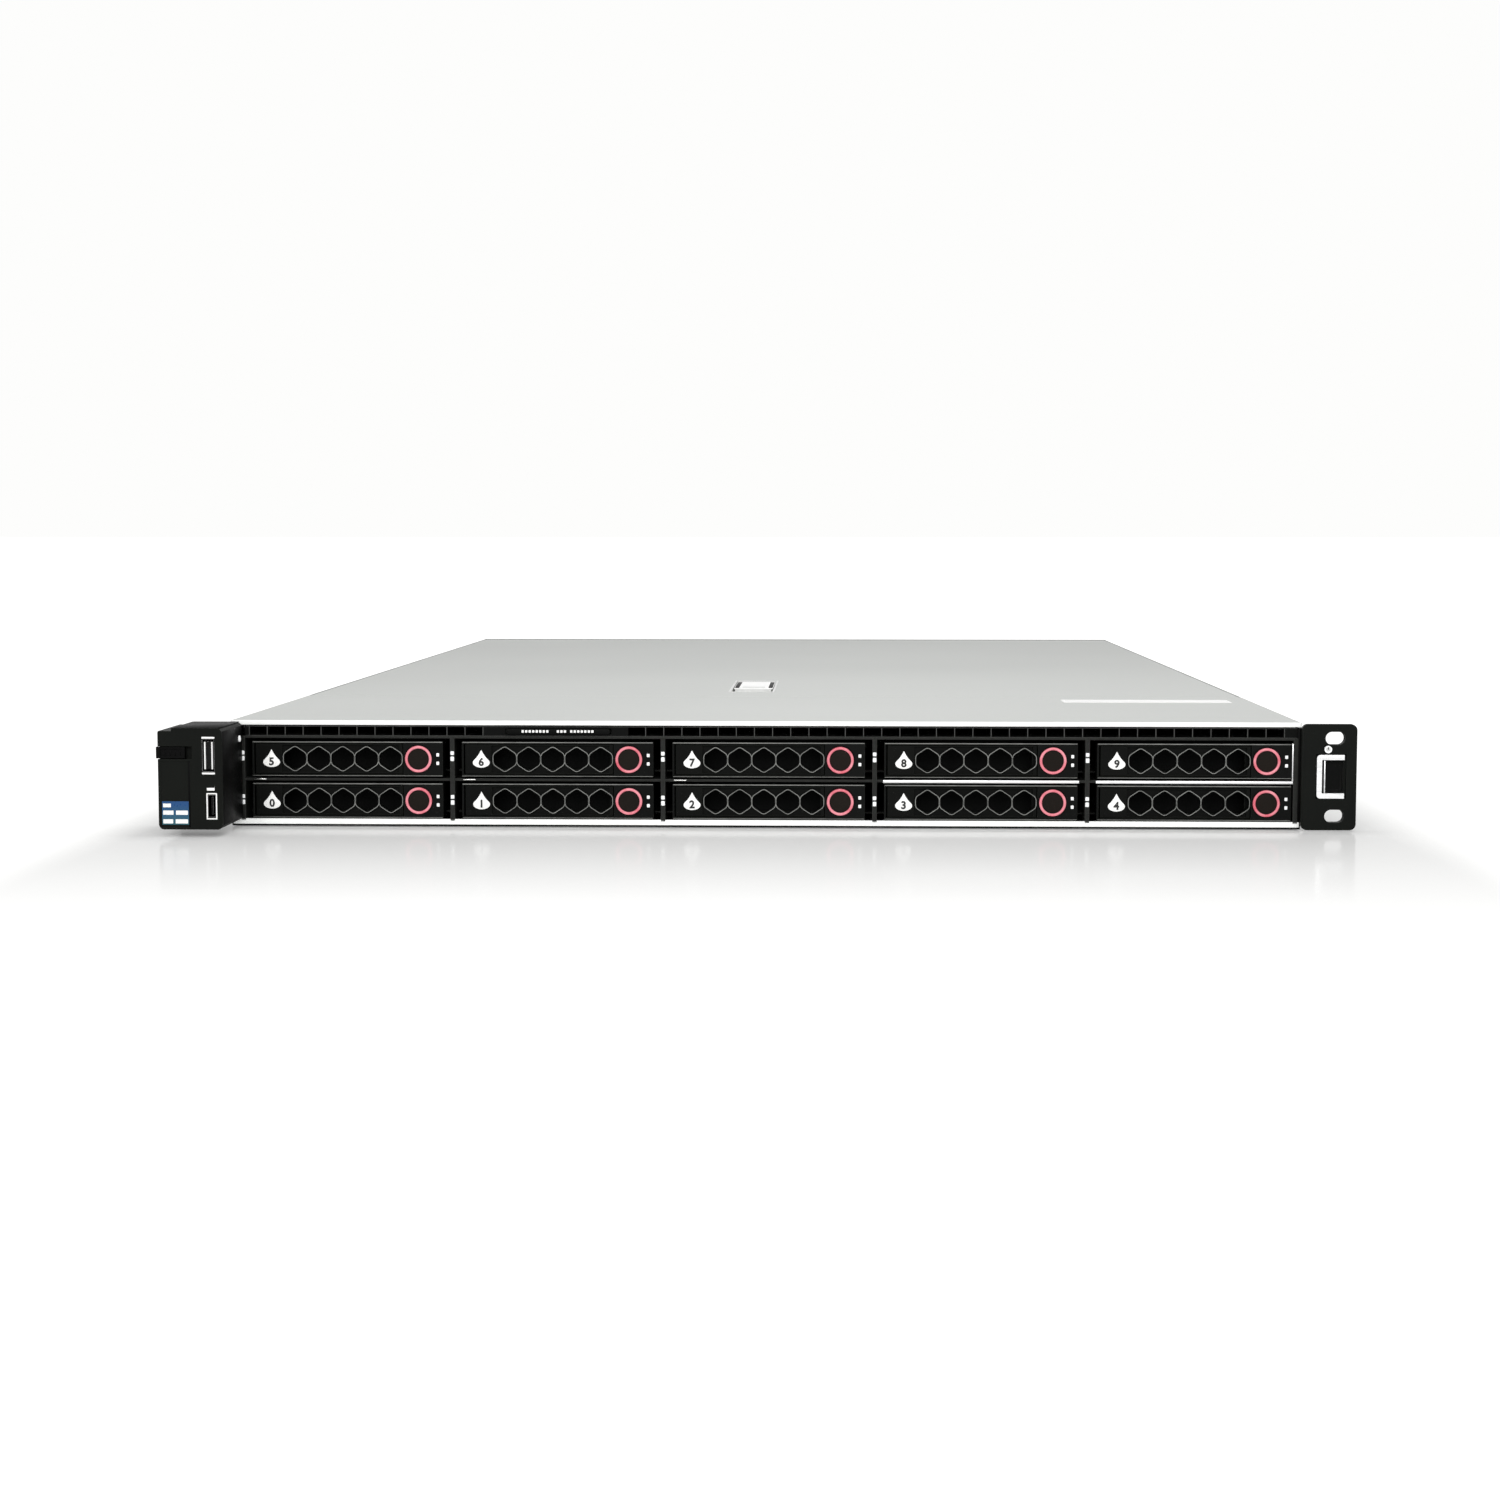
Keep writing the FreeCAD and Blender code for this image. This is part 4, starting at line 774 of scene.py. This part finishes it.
def button_ring():
    """The red ring: half a torus, flat where it meets the button."""
    centre = (button_low + button_high) / 2
    clear()
    bpy.ops.mesh.primitive_torus_add(major_radius=RING_MIDDLE, minor_radius=RING_BAR,
                                     major_segments=56, minor_segments=12,
                                     location=(centre.x, button_low.y, centre.z),
                                     rotation=TURN["y"])
    ring = settle("button_ring")
    pick(ring, lambda at, normal: True)
    bpy.ops.mesh.select_all(action="SELECT")
    bpy.ops.mesh.bisect(plane_co=(0, button_low.y + 0.05 * MM, 0), plane_no=(0, 1, 0),
                        clear_outer=True, use_fill=True)
    take(ring)
    bpy.ops.object.shade_smooth_by_angle(angle=math.radians(50))
    return ring


def sled_lamps():
    """Two tiny lamp lenses at the right end of the sled."""
    across = bay_high.x - 2.1 * MM
    highs = [LEVER_MIDDLE + sign * 1.75 * MM for sign in (-1, 1)]
    return slabs("sled_lamps", [((across - 0.6 * MM, DRIVE_FACE - 0.3 * MM, high - 0.7 * MM),
                                 (across + 0.6 * MM, DRIVE_FACE + 0.2 * MM, high + 0.7 * MM))
                                for high in highs], 0.3 * MM, 4)


def sled_lips():
    """Painted highlights: the pale line along the top edge of a sled's face, and the thinner one at
    its foot.
    """
    foot_z, top_z = button_low.z - 1.55 * MM, button_high.z + 1.55 * MM
    left, right = bay_low.x + 0.2 * MM, bay_high.x - 0.2 * MM
    back = DRIVE_FACE + 0.3 * MM
    top = slab("lip", (left, DRIVE_FACE - 0.12 * MM, top_z - 0.42 * MM),
               (right, back, top_z - 0.02 * MM), 0.1 * MM)
    foot = slab("lip", (left, DRIVE_FACE - 0.1 * MM, foot_z + 0.05 * MM),
                (right, back, foot_z + 0.3 * MM), 0.08 * MM)
    return joined("sled_lips", [top, foot])


def disk_details():
    """The disk's label and case rim and the sled's screws, seen when the sled is pulled out."""
    top = bay_high.z
    label = slab("disk_label", (bay_low.x + 9 * MM, DISK_FRONT + 22 * MM, top - 0.05 * MM),
                 (bay_high.x - 9 * MM, DISK_FRONT + 84 * MM, top + 0.12 * MM), 0.05 * MM)
    rim = slab("disk_rim", (bay_low.x + 6 * MM, DISK_FRONT + 3 * MM, top - 0.1 * MM),
               (bay_high.x - 6 * MM, DISK_FRONT + 97 * MM, top + 0.04 * MM), 0.03 * MM)
    sink(rim, facing(2, 1), 1.5 * MM, 0.08 * MM)
    screw_at = (bay_low.x + 2.9 * MM, DISK_FRONT + 10 * MM, (bay_low.z + top) / 2)
    screw = disc("rail_screw", screw_at, 1.9 * MM, 0.5 * MM, "x", 20, 0.15 * MM)
    sink(screw, facing(0, -1), 0.8 * MM, 0.3 * MM)
    return label, rim, scatter("rail_screws", screw, [(0, 0, 0), (0, 76 * MM, 0)])


def dress_drives():
    """Every sled's pieces, made once and copied to each bay, and the bays' plain numbers."""
    moves = [bay_move(bay) for bay in range(BAYS)]
    label, rim, screws = disk_details()
    share_out((
        ("cell_lines", cell_outlines(), HIGHLIGHT_GREY, "lever_{}", "lever_plastic"),
        ("bay_tag", bay_tag(), PRINT_WHITE, "lever_{}", "lever_plastic"),
        ("button_ring", button_ring(), RING_RED, "button_{}", "ring_plastic"),
        ("sled_lamps", sled_lamps(), LENS_WHITE, "drive_{}", "ring_plastic"),
        ("sled_lips", sled_lips(), HIGHLIGHT_GREY, "drive_{}", "black_abs"),
        ("disk_label", label, LABEL_WHITE, "drive_{}", "black_abs"),
        ("disk_rim", rim, ALUMINIUM_CASE, "drive_{}", "black_abs"),
        ("rail_screws", screws, SCREW_ZINC, "drive_{}", "zinc_screws"),
    ), moves)
    start = Vector((TAG_ACROSS, lever_low.y - 0.5 * MM, LEVER_MIDDLE - 1.3 * MM))
    for bay, move in enumerate(moves):
        figure = numeral(f"bay_number_{bay}", str(bay), start + move, 4.4 * MM)
        dress(figure, INK_BLACK, f"lever_{bay}")


# ---------------------------------------------------------------- cage, vents and tag

# Shelves given bright trim for a painted reflection, and shelves given small bright tabs for
# painted highlight specks.
BRIGHT_SHELVES = (3, 4)
PLAIN_SHELVES = (0, 1, 2)
PIPE_FEET = ((27.0, 1.9), (29.5, 1.6), (8.9, 1.9), (11.4, 1.6))
SHELF_LOW = 18.55 * MM
SHELF_HIGH = 19.8 * MM
VENT_RIBS = 58
VENT_FIRST = -212.2 * MM
VENT_PITCH = 7.45 * MM
RIB_LOW = 37.55 * MM
RIB_HIGH = 41.15 * MM
DASH_PITCH = 1.45 * MM


def dress_cage():
    """Light pipes on the posts; bright metal trim on the right two shelf edges and an upright
    beside them, a painted reflection that only those edges show; and small nickel tabs drawn as
    guide springs, painted highlights for the bright specks under the left three shelves.
    """
    face = cage_low.y
    across = bay_low.x - 3.95 * MM
    pipes = slabs("pipe_pair", [((across - 0.75 * MM, face - 0.35 * MM, low * MM),
                                 (across + 0.75 * MM, face + 0.3 * MM, (low + tall) * MM))
                                for low, tall in PIPE_FEET], 0.5 * MM, 4)
    share_out((("light_pipes", pipes, LENS_WHITE, "root", "ring_plastic"),),
              [(column * COLUMN_PITCH, 0, 0) for column in range(COLUMNS)])

    for column in BRIGHT_SHELVES:
        left = bay_low.x + column * COLUMN_PITCH - 0.6 * MM
        trim(f"shelf_edge_{column}", (left, DRIVE_FACE - 0.9 * MM, SHELF_LOW),
             (left + 80.2 * MM, DRIVE_FACE + 1.2 * MM, SHELF_HIGH), 0.25 * MM,
             TRIM, steps=3)
    left = bay_low.x + BRIGHT_SHELVES[-1] * COLUMN_PITCH + 79.05 * MM
    trim("shelf_upright", (left, DRIVE_FACE - 0.8 * MM, SHELF_HIGH - 0.2 * MM),
         (left + 0.55 * MM, DRIVE_FACE + 1 * MM, 35.2 * MM), 0.15 * MM, TRIM)
    for column in PLAIN_SHELVES:
        left = bay_low.x + column * COLUMN_PITCH + 0.5 * MM
        spring = slab(f"guide_spring_{column}", (left, DRIVE_FACE - 0.2 * MM, 19.1 * MM),
                      (left + 5.2 * MM, DRIVE_FACE + 6 * MM, 19.55 * MM), 0.12 * MM)
        dress(slant(spring, -0.6 * MM), NICKEL)


def dress_vents():
    """Pale lines on the edges of the strip's ribs and along its two rails, painted highlights, none
    behind the tag.
    """
    front, back = vent_low.y - 0.12 * MM, vent_low.y + 0.05 * MM
    lines = []
    for index in range(VENT_RIBS):
        low = VENT_FIRST + index * VENT_PITCH
        if low < tag_low.x - 9.5 * MM or low > tag_high.x + 7.5 * MM:
            lines.append(((low + 0.1 * MM, front, RIB_LOW), (low + 0.4 * MM, back, RIB_HIGH)))
    for low in (RIB_LOW - 0.25 * MM, RIB_HIGH):
        lines.append(((vent_low.x + 0.5 * MM, front, low),
                      (vent_high.x - 0.5 * MM, back, low + 0.18 * MM)))
    dress(slabs("vent_edge_highlights", lines, 0.05 * MM, 1), RIB_HIGHLIGHT_GREY)


def dress_tag():
    """The information tag over the second column: a finger rib and rows of plain dashes."""
    front = tag_low.y
    trim("tag_rib", (tag_low.x + 0.4 * MM, front - 0.5 * MM, tag_low.z - 0.35 * MM),
         (tag_high.x - 0.4 * MM, front + 0.2 * MM, tag_high.z + 0.25 * MM), 0.2 * MM,
         STRIP_BLACK, "info_tag", steps=3)
    left = tag_low.x + 6.6 * MM
    lows = [left + start * MM + index * DASH_PITCH
            for start, count in ((0, 8), (14.5, 3), (20, 7)) for index in range(count)]
    dashes = slabs("tag_dashes", [((low, front - 0.62 * MM, 38.95 * MM),
                                   (low + 0.95 * MM, front - 0.45 * MM, 39.95 * MM))
                                  for low in lows], 0.06 * MM, 1)
    dress(dashes, PRINT_WHITE, "info_tag")


# ---------------------------------------------------------------- ears

EAR_FACE = left_low.y
USB_MIDDLE = 32.2 * MM
SERVICE_MIDDLE = 11.9 * MM
STICKER_BARS = ((0.4, 3.6, 7.0, 8.5), (0.4, 4.6, 4.0, 5.7), (5.6, 10.4, 4.0, 5.7),
                (0.4, 4.4, 0.5, 2.2), (5.4, 10.4, 0.5, 2.2))


def dress_sticker():
    """A blue film with plain white bars on the left ear's sunk panel."""
    panel = EAR_FACE + 0.4 * MM
    low = Vector((left_low.x + 1.3 * MM, panel - 0.12 * MM, left_low.z + 1.9 * MM))
    high = Vector((left_low.x + 12.5 * MM, panel + 0.05 * MM, left_low.z + 11.3 * MM))
    trim("ear_label", low, high, 0.05 * MM, BLUE_FILM, steps=1)
    bars = slabs("ear_label_bars", [
        ((low.x + left * MM, panel - 0.22 * MM, low.z + foot * MM),
         (low.x + right * MM, panel - 0.08 * MM, low.z + head * MM))
        for left, right, foot, head in STICKER_BARS], 0.06 * MM, 1)
    dress(bars, PRINT_WHITE)


def dress_sockets():
    """Bars and springs of the upright USB socket, outline and mark of the service socket."""
    face = EAR_FACE
    across = (ports_low.x + ports_high.x) / 2
    ends = slabs("usb_end_bars", [
        ((across - 2.7 * MM, face - 0.25 * MM, high - 0.4 * MM),
         (across + 2.6 * MM, face + 0.4 * MM, high + 0.4 * MM))
        for high in (USB_MIDDLE - 7.15 * MM, USB_MIDDLE + 7.15 * MM)], 0.3 * MM, 3)
    dress(ends, PRINT_WHITE)
    springs = slabs("usb_side_springs", [
        ((at - 0.22 * MM, face + 0.02 * MM, USB_MIDDLE - 5.5 * MM),
         (at + 0.22 * MM, face + 1.2 * MM, USB_MIDDLE + 5.5 * MM))
        for at in (across - 1.45 * MM, across + 1.45 * MM)], 0.12 * MM)
    dress(springs, PRINT_WHITE)

    port = across + 1.1 * MM
    low, high = SERVICE_MIDDLE - 5.3 * MM, SERVICE_MIDDLE + 5.3 * MM
    outline = slab("service_outline", (port - 2.15 * MM, face - 0.2 * MM, low),
                   (port + 2.15 * MM, face + 0.15 * MM, high))
    dress(cut_through(outline, 1, 0.5 * MM, 0.12 * MM), PRINT_WHITE)
    mark = slab("port_mark", (port - 1.9 * MM, face - 0.15 * MM, high + 1.0 * MM),
                (port + 1.2 * MM, face + 0.1 * MM, high + 2.1 * MM), 0.1 * MM)
    dress(slant(mark, 1.0 * MM), PRINT_WHITE)


def dress_left_ear():
    """Catch ridges; near-black painted shade in the panel's groove and on the ear's top and inner
    faces; and the inner screw, its head a glowing white painted glint.
    """
    face = EAR_FACE
    lows = [catch_low.x + (3.4 + index * 2.0) * MM for index in range(4)]
    ridges = slabs("catch_ridges", [
        ((low, catch_low.y + 0.5 * MM, catch_low.z + 1.1 * MM),
         (low + 0.5 * MM, catch_low.y + 0.68 * MM, catch_high.z - 1.1 * MM))
        for low in lows], 0.08 * MM)
    dress(ridges, BLACK_AND_PAINTED_SHADE, "release_catch")
    inner = left_high.x
    back = left_high.y - 0.4 * MM
    # Near-black slabs over the groove and the ear's top and inner faces: painted shade.
    for name, low, high, soft in (
        ("panel_groove_shade", (left_low.x + 12.1 * MM, face + 0.12 * MM, left_low.z + 0.9 * MM),
         (left_low.x + 12.85 * MM, face + 0.42 * MM, catch_low.z - 1.2 * MM), 0.1 * MM),
        ("ear_top_shade", (left_low.x + 6.2 * MM, face + 0.9 * MM, left_high.z - 0.05 * MM),
         (inner - 0.9 * MM, back, left_high.z + 0.08 * MM), 0.05 * MM),
        ("ear_inner_shade", (inner - 0.04 * MM, face + 1.2 * MM, left_low.z + 1.6 * MM),
         (inner + 0.08 * MM, back, left_high.z - 1.4 * MM), 0.05 * MM),
    ):
        trim(name, low, high, soft, BLACK_AND_PAINTED_SHADE)
    # The screw head is drawn in glowing milky white: a painted glint.
    head = disc("ear_screw", (inner + 0.2 * MM, DRIVE_FACE - 7 * MM, 36.6 * MM), 1.3 * MM,
                0.9 * MM, "x", 24, 0.3 * MM, 3)
    dress(sink(head, facing(0, 1), 0.5 * MM, 0.3 * MM), LENS_WHITE)


def dress_right_ear():
    """A bright strip on the finger recess's lip, a painted highlight, its floor in a darker black,
    painted shade, power mark, and a rib by the chassis.
    """
    face = right_low.y
    trim("recess_lip_highlight", (bail_low.x + 3.05 * MM, face + 0.1 * MM, bail_low.z + 2.4 * MM),
         (bail_low.x + 3.6 * MM, face + 2.2 * MM, bail_high.z - 2.4 * MM), 0.12 * MM,
         TRIM)
    centre = (power_low + power_high) / 2
    centre.y = power_low.y
    ring = hollow_ring("power_ring", centre - Vector((0, 0.05 * MM, 0)), 1.5 * MM, 0.95 * MM,
                       0.2 * MM, 28)
    dress(ring, LENS_WHITE, "power_button")
    trim("power_stroke", centre + Vector((-0.16, -0.18, -0.1)) * MM,
         centre + Vector((0.16, 0.02, 0.9)) * MM, 0.06 * MM,
         INK_BLACK, "power_button", steps=1)
    trim("ear_groove_rib", (right_low.x + 0.25 * MM, face - 0.12 * MM, 1.2 * MM),
         (right_low.x + 0.75 * MM, face + 0.2 * MM, 42.4 * MM), 0.1 * MM, EAR_BLACK)
    # The recess floor is darker than the ear: painted shade.
    recess = slab("finger_floor_shade", (bail_low.x + 3.2 * MM, face + 2.3 * MM, bail_low.z + 2.6 * MM),
                  (bail_high.x - 0.3 * MM, face + 2.78 * MM, bail_high.z - 2.6 * MM), 0.1 * MM, 1)
    dress(sink(recess, facing(1, -1), 0.6 * MM, 0.2 * MM), STRIP_BLACK)


# ---------------------------------------------------------------- lid

LABEL_LEFT = 133.4 * MM
LABEL_RIGHT = 209.4 * MM
LATCH_HALF = 9.6 * MM


def dress_latch():
    """The lift latch's plate, finger ribs and near-black painted shade in the gaps at its ends, its
    recess floor and collar.
    """
    middle = (latch_low.x + latch_high.x) / 2
    low, high = latch_low, latch_high
    trim("latch_plate", (middle - LATCH_HALF, low.y + 1 * MM, high.z - 0.05 * MM),
         (middle + LATCH_HALF, high.y - 2 * MM, high.z + 0.2 * MM), 0.15 * MM,
         LABEL_WHITE, "cover_latch", steps=3)
    rib = slab("latch_rib", (middle - 5.6 * MM, low.y + 5 * MM, high.z + 0.1 * MM),
               (middle + 5.6 * MM, low.y + 6.2 * MM, high.z + 0.4 * MM), 0.3 * MM, 3)
    ribs = scatter("latch_ribs", rib, [(0, index * 3.2 * MM, 0) for index in range(4)])
    dress(ribs, PALE_PLASTIC, "cover_latch")
    gap_shades = slabs("latch_gap_shades", [
        ((at - 1.05 * MM, low.y + 6 * MM, high.z + 0.1 * MM),
         (at + 1.05 * MM, high.y - 8 * MM, high.z + 0.28 * MM))
        for at in (middle - 8.3 * MM, middle + 8.3 * MM)], 0.9 * MM, 4)
    dress(gap_shades, BLACK_AND_PAINTED_SHADE, "cover_latch")
    liner = slab("latch_liner", (middle - LATCH_HALF, low.y - 24.5 * MM, lid_low.z + 1.25 * MM),
                 (middle + LATCH_HALF, low.y - 0.6 * MM, lid_low.z + 2.4 * MM), 0.5 * MM, 3)
    dress(sink(liner, facing(2, 1), 2.4 * MM, 0.3 * MM), LABEL_WHITE, "top_cover")
    collar = slab("latch_collar", (middle - 11.2 * MM, low.y - 26.6 * MM, lid_high.z - 0.05 * MM),
                  (middle + 11.2 * MM, high.y + 4.6 * MM, lid_high.z + 0.2 * MM))
    dress(cut_through(collar, 2, 1.2 * MM, 0.08 * MM), PALE_PLASTIC, "top_cover")


def dress_lid():
    """Pale strip on the fixed cover, a glowing white painted highlight along its front hem, and the
    edges of the sliding cover.
    """
    top = hood_high.z
    front = hood_low.y
    strip = slab("lid_label", (LABEL_LEFT, front + 121 * MM, top - 0.02 * MM),
                 (LABEL_RIGHT, front + 138 * MM, top + 0.22 * MM), 0.08 * MM)
    dress(sink(strip, facing(2, 1), 1.2 * MM, 0.05 * MM), LABEL_WHITE)
    trim("lid_hem_highlight", (hood_low.x + 0.2 * MM, front - 0.28 * MM, hood_low.z + 0.1 * MM),
         (hood_high.x - 0.2 * MM, front + 0.6 * MM, top + 0.12 * MM), 0.25 * MM,
         HEM_HIGHLIGHT_WHITE, steps=3)
    end = lid_high.y - 0.3 * MM
    trim("rear_edge", (lid_low.x + 0.3 * MM, lid_high.y - 1.6 * MM, top - 0.05 * MM),
         (lid_high.x - 0.3 * MM, end, top + 0.35 * MM), 0.15 * MM,
         SEAM_GREY, "top_cover")
    sides = slabs("lid_side_edges", [((at, lid_low.y + 0.5 * MM, top - 0.05 * MM),
                                      (at + 0.8 * MM, end, top + 0.15 * MM))
                                     for at in (lid_low.x + 0.25 * MM, lid_high.x - 1.05 * MM)],
                  0.1 * MM)
    dress(sides, SEAM_GREY, "top_cover")


def dress_front_edges():
    """A glowing white painted highlight along the floor's lip, a painted contact shadow under it,
    and black strips over the walls' front ends.
    """
    face = tray_low.y
    half = tray_high.x
    trim("floor_hem_highlight", (-half + 0.4 * MM, face - 0.3 * MM, 0.75 * MM),
         (half - 0.4 * MM, face + 0.4 * MM, 3.0 * MM), 0.25 * MM, HEM_HIGHLIGHT_WHITE, steps=3)
    # A near-black line under the lip: a painted contact shadow.
    trim("floor_contact_shadow", (-half + 0.4 * MM, face - 0.22 * MM, 0.05 * MM),
         (half - 0.4 * MM, face + 0.3 * MM, 0.72 * MM), 0.15 * MM, BLACK_AND_PAINTED_SHADE)
    ends = slabs("wall_end_black_strips", [
        ((left, face - 0.2 * MM, 0.1 * MM),
         (left + 1.32 * MM, face + 0.3 * MM, hood_low.z - 0.1 * MM))
        for left in (-half - 0.02 * MM, half - 1.3 * MM)], 0.12 * MM)
    dress(ends, BLACK_AND_PAINTED_SHADE)


# ---------------------------------------------------------------- sides and supplies

RIVET_PITCH = 90 * MM
RIVET_HEIGHTS = (0, 31 * MM)


def rivet_rows():
    """Flush rivets in two rows along both sides."""
    rivet = disc("rivet", (tray_low.x - 0.15 * MM, DRIVE_FACE + 60 * MM, 6 * MM), 2.2 * MM,
                 0.5 * MM, "x", 20, 0.2 * MM, 3)
    sink(rivet, facing(0, -1), 0.8 * MM, 0.15 * MM)
    places = [(0, step * RIVET_PITCH, high) for step in range(8) for high in RIVET_HEIGHTS]
    left = scatter("left_rivets", rivet, places)
    right = copy_of(left, "right_rivets", (0, 0, 0))
    right.data.transform(Matrix.Diagonal((-1, 1, 1, 1)))
    take(right)
    bpy.ops.object.mode_set(mode="EDIT")
    turn_outwards()
    dress(left, GALVANISED)
    dress(right, GALVANISED)


def fan_guard(hub):
    """Three wire rings and four spokes over a supply's fan."""
    parts = [hollow_ring("guard", hub, (radius + 0.5) * MM, (radius - 0.5) * MM, 0.9 * MM, 40,
                         0.2 * MM) for radius in (5, 9, 13)]
    for index in range(4):
        clear()
        turn = math.radians(45 + 90 * index)
        at = hub + Vector((math.cos(turn), 0, math.sin(turn))) * 9.5 * MM
        bpy.ops.mesh.primitive_cube_add(size=1, location=at, rotation=(0, -turn, 0))
        bpy.context.object.scale = (11 * MM, 0.8 * MM, 0.9 * MM)
        parts.append(soften(settle("spoke"), 0.15 * MM))
    return joined("fan_guard", parts)


def dress_supplies():
    """Inlet frame and pins, fan guard, lamp and label band on each power supply."""
    rear = REAR_FACE
    inlet_low = Vector((psu_low.x + 6 * MM, rear, psu_low.z + 11.5 * MM))
    inlet_high = inlet_low + Vector((24, 0, 16.5)) * MM
    collar = slab("inlet_frame", inlet_low - Vector((2, 0.1, 2)) * MM,
                  inlet_high + Vector((2, 0.9, 2)) * MM)
    cut_through(collar, 1, 2 * MM, 0.25 * MM)
    middle = (inlet_low + inlet_high) / 2
    spots = [middle + Vector((across, 0, high)) * MM
             for across, high in ((-7.0, -1.5), (0.0, 2.5), (7.0, -1.5))]
    pins = slabs("inlet_pins", [(at + Vector((-1, -15, -2)) * MM, at + Vector((1, -1.5, 2)) * MM)
                                for at in spots], 0.3 * MM)
    guard = fan_guard(Vector((psu_low.x + 53 * MM, rear + 0.35 * MM, (psu_low.z + psu_high.z) / 2)))
    lamp = disc("supply_lamp", (psu_low.x + 40.4 * MM, rear + 0.2 * MM, psu_high.z - 4.5 * MM),
                1.3 * MM, 0.9 * MM, "y", 24, 0.35 * MM, 3)
    band = slab("supply_band", (psu_low.x + 4 * MM, rear - 0.05 * MM, psu_low.z + 3.2 * MM),
                (psu_low.x + 30 * MM, rear + 0.25 * MM, psu_low.z + 6.6 * MM), 0.1 * MM)
    sink(band, facing(1, 1), 0.5 * MM, 0.1 * MM)
    share_out((
        ("inlet_frame", collar, GRIP_BLACK, "psu_{}", "psu_steel"),
        ("inlet_pins", pins, NICKEL, "psu_{}", "socket_steel"),
        ("fan_guard", guard, SCREW_ZINC, "psu_{}", "psu_steel"),
        ("supply_lamp", lamp, LAMP_GREEN, "psu_{}", "psu_steel"),
        ("supply_band", band, LABEL_WHITE, "psu_{}", "psu_steel"),
    ), [(0, 0, 0), (PSU_PITCH, 0, 0)], 1)


# ---------------------------------------------------------------- rear wall

JACKS = 3
JACK_LEFT = -162.85 * MM
JACK_PITCH = 18 * MM
PORT_SILL = 11.8 * MM
STACK_TONGUES = (12.6 * MM, 20.3 * MM)
DISPLAY_HOLES_AT = (-194.3 * MM, 13.9 * MM)
DISPLAY_NUTS_AT = ((-200.4 * MM, 16.05 * MM), (-174.6 * MM, 16.05 * MM))
STUD_AT = (-88 * MM, 38 * MM)
WALL_SCREW_AT = (-210 * MM, 37 * MM)


def dress_jacks():
    """Gold wires and green lamps in the network jacks, blue tongues in the stacked pair."""
    wires = []
    lamps = []
    for jack in range(JACKS):
        left = JACK_LEFT + jack * JACK_PITCH
        for pin in range(8):
            across = left + (1.6 + pin * 1.2) * MM
            wires.append(((across, REAR_FACE - 12 * MM, PORT_SILL + 7.2 * MM),
                          (across + 0.5 * MM, REAR_FACE - 2 * MM, PORT_SILL + 7.8 * MM)))
        for side in (0.2, 9.3):
            across = left + side * MM
            lamps.append(((across, REAR_FACE - 0.3 * MM, PORT_SILL + 8.9 * MM),
                          (across + 2.3 * MM, REAR_FACE + 0.25 * MM, PORT_SILL + 10.3 * MM)))
    tongues = [((rear_high.x - 12.2 * MM, REAR_FACE - 11 * MM, low),
                (rear_high.x - 1.2 * MM, REAR_FACE - 2 * MM, low + 1.6 * MM))
               for low in STACK_TONGUES]
    dress(slabs("jack_contacts", wires, 0.1 * MM), GOLD)
    dress(slabs("jack_lamps", lamps, 0.2 * MM), LAMP_GREEN)
    dress(slabs("stack_tongues", tongues, 0.2 * MM), BLUE_FILM)


def dress_display():
    """Three rows of black discs, painted shade in the display socket's holes, and the nuts beside
    it.
    """
    left, foot = DISPLAY_HOLES_AT
    holes = []
    for row in range(3):
        for index in range(5):
            at = (left + index * 3.0 * MM + (row % 2) * 1.2 * MM, REAR_FACE + 4.55 * MM,
                  foot + row * 2.1 * MM)
            holes.append(disc("hole", at, 0.55 * MM, 0.2 * MM, "y", 16, 0.06 * MM))
    dress(joined("display_hole_shades", holes), INK_BLACK)
    nuts = [disc("nut", (across, REAR_FACE + 2 * MM, high), 2.6 * MM, 6.5 * MM, "y", 6, 0.3 * MM)
            for across, high in DISPLAY_NUTS_AT]
    for nut in nuts:
        sink(nut, facing(1, 1), 1.0 * MM, 2.0 * MM)
    dress(joined("display_nuts", nuts), SCREW_ZINC)


def dress_rear():
    """A brass ground post and the screws along the rear wall."""
    across, high = STUD_AT
    stud = disc("ground_stud", (across, REAR_FACE + 1.5 * MM, high), 2.0 * MM, 6 * MM, "y", 24,
                0.3 * MM)
    washer = hollow_ring("ground_washer", (across, REAR_FACE - 0.9 * MM, high), 4.2 * MM, 2.0 * MM,
                         0.8 * MM, 32, 0.15 * MM)
    dress(joined("ground_post", [stud, washer]), GOLD)
    across, high = WALL_SCREW_AT
    screw = disc("wall_screw", (across, REAR_FACE - 1.0 * MM, high), 3.0 * MM, 1.2 * MM, "y", 28,
                 0.3 * MM)
    sink(screw, facing(1, 1), 1.3 * MM, 0.4 * MM)
    moves = [(0, 0, 0), (0, 0, -31 * MM)]
    moves += [(across * MM, 0, 1.5 * MM) for across in (141, 206, 271)]
    dress(scatter("wall_screws", screw, moves), SCREW_ZINC)


make_camera()
make_studio()
dress_frame()
dress_drives()
dress_cage()
dress_vents()
dress_tag()
dress_sticker()
dress_sockets()
dress_left_ear()
dress_right_ear()
dress_latch()
dress_lid()
dress_front_edges()
rivet_rows()
dress_supplies()
dress_jacks()
dress_display()
dress_rear()
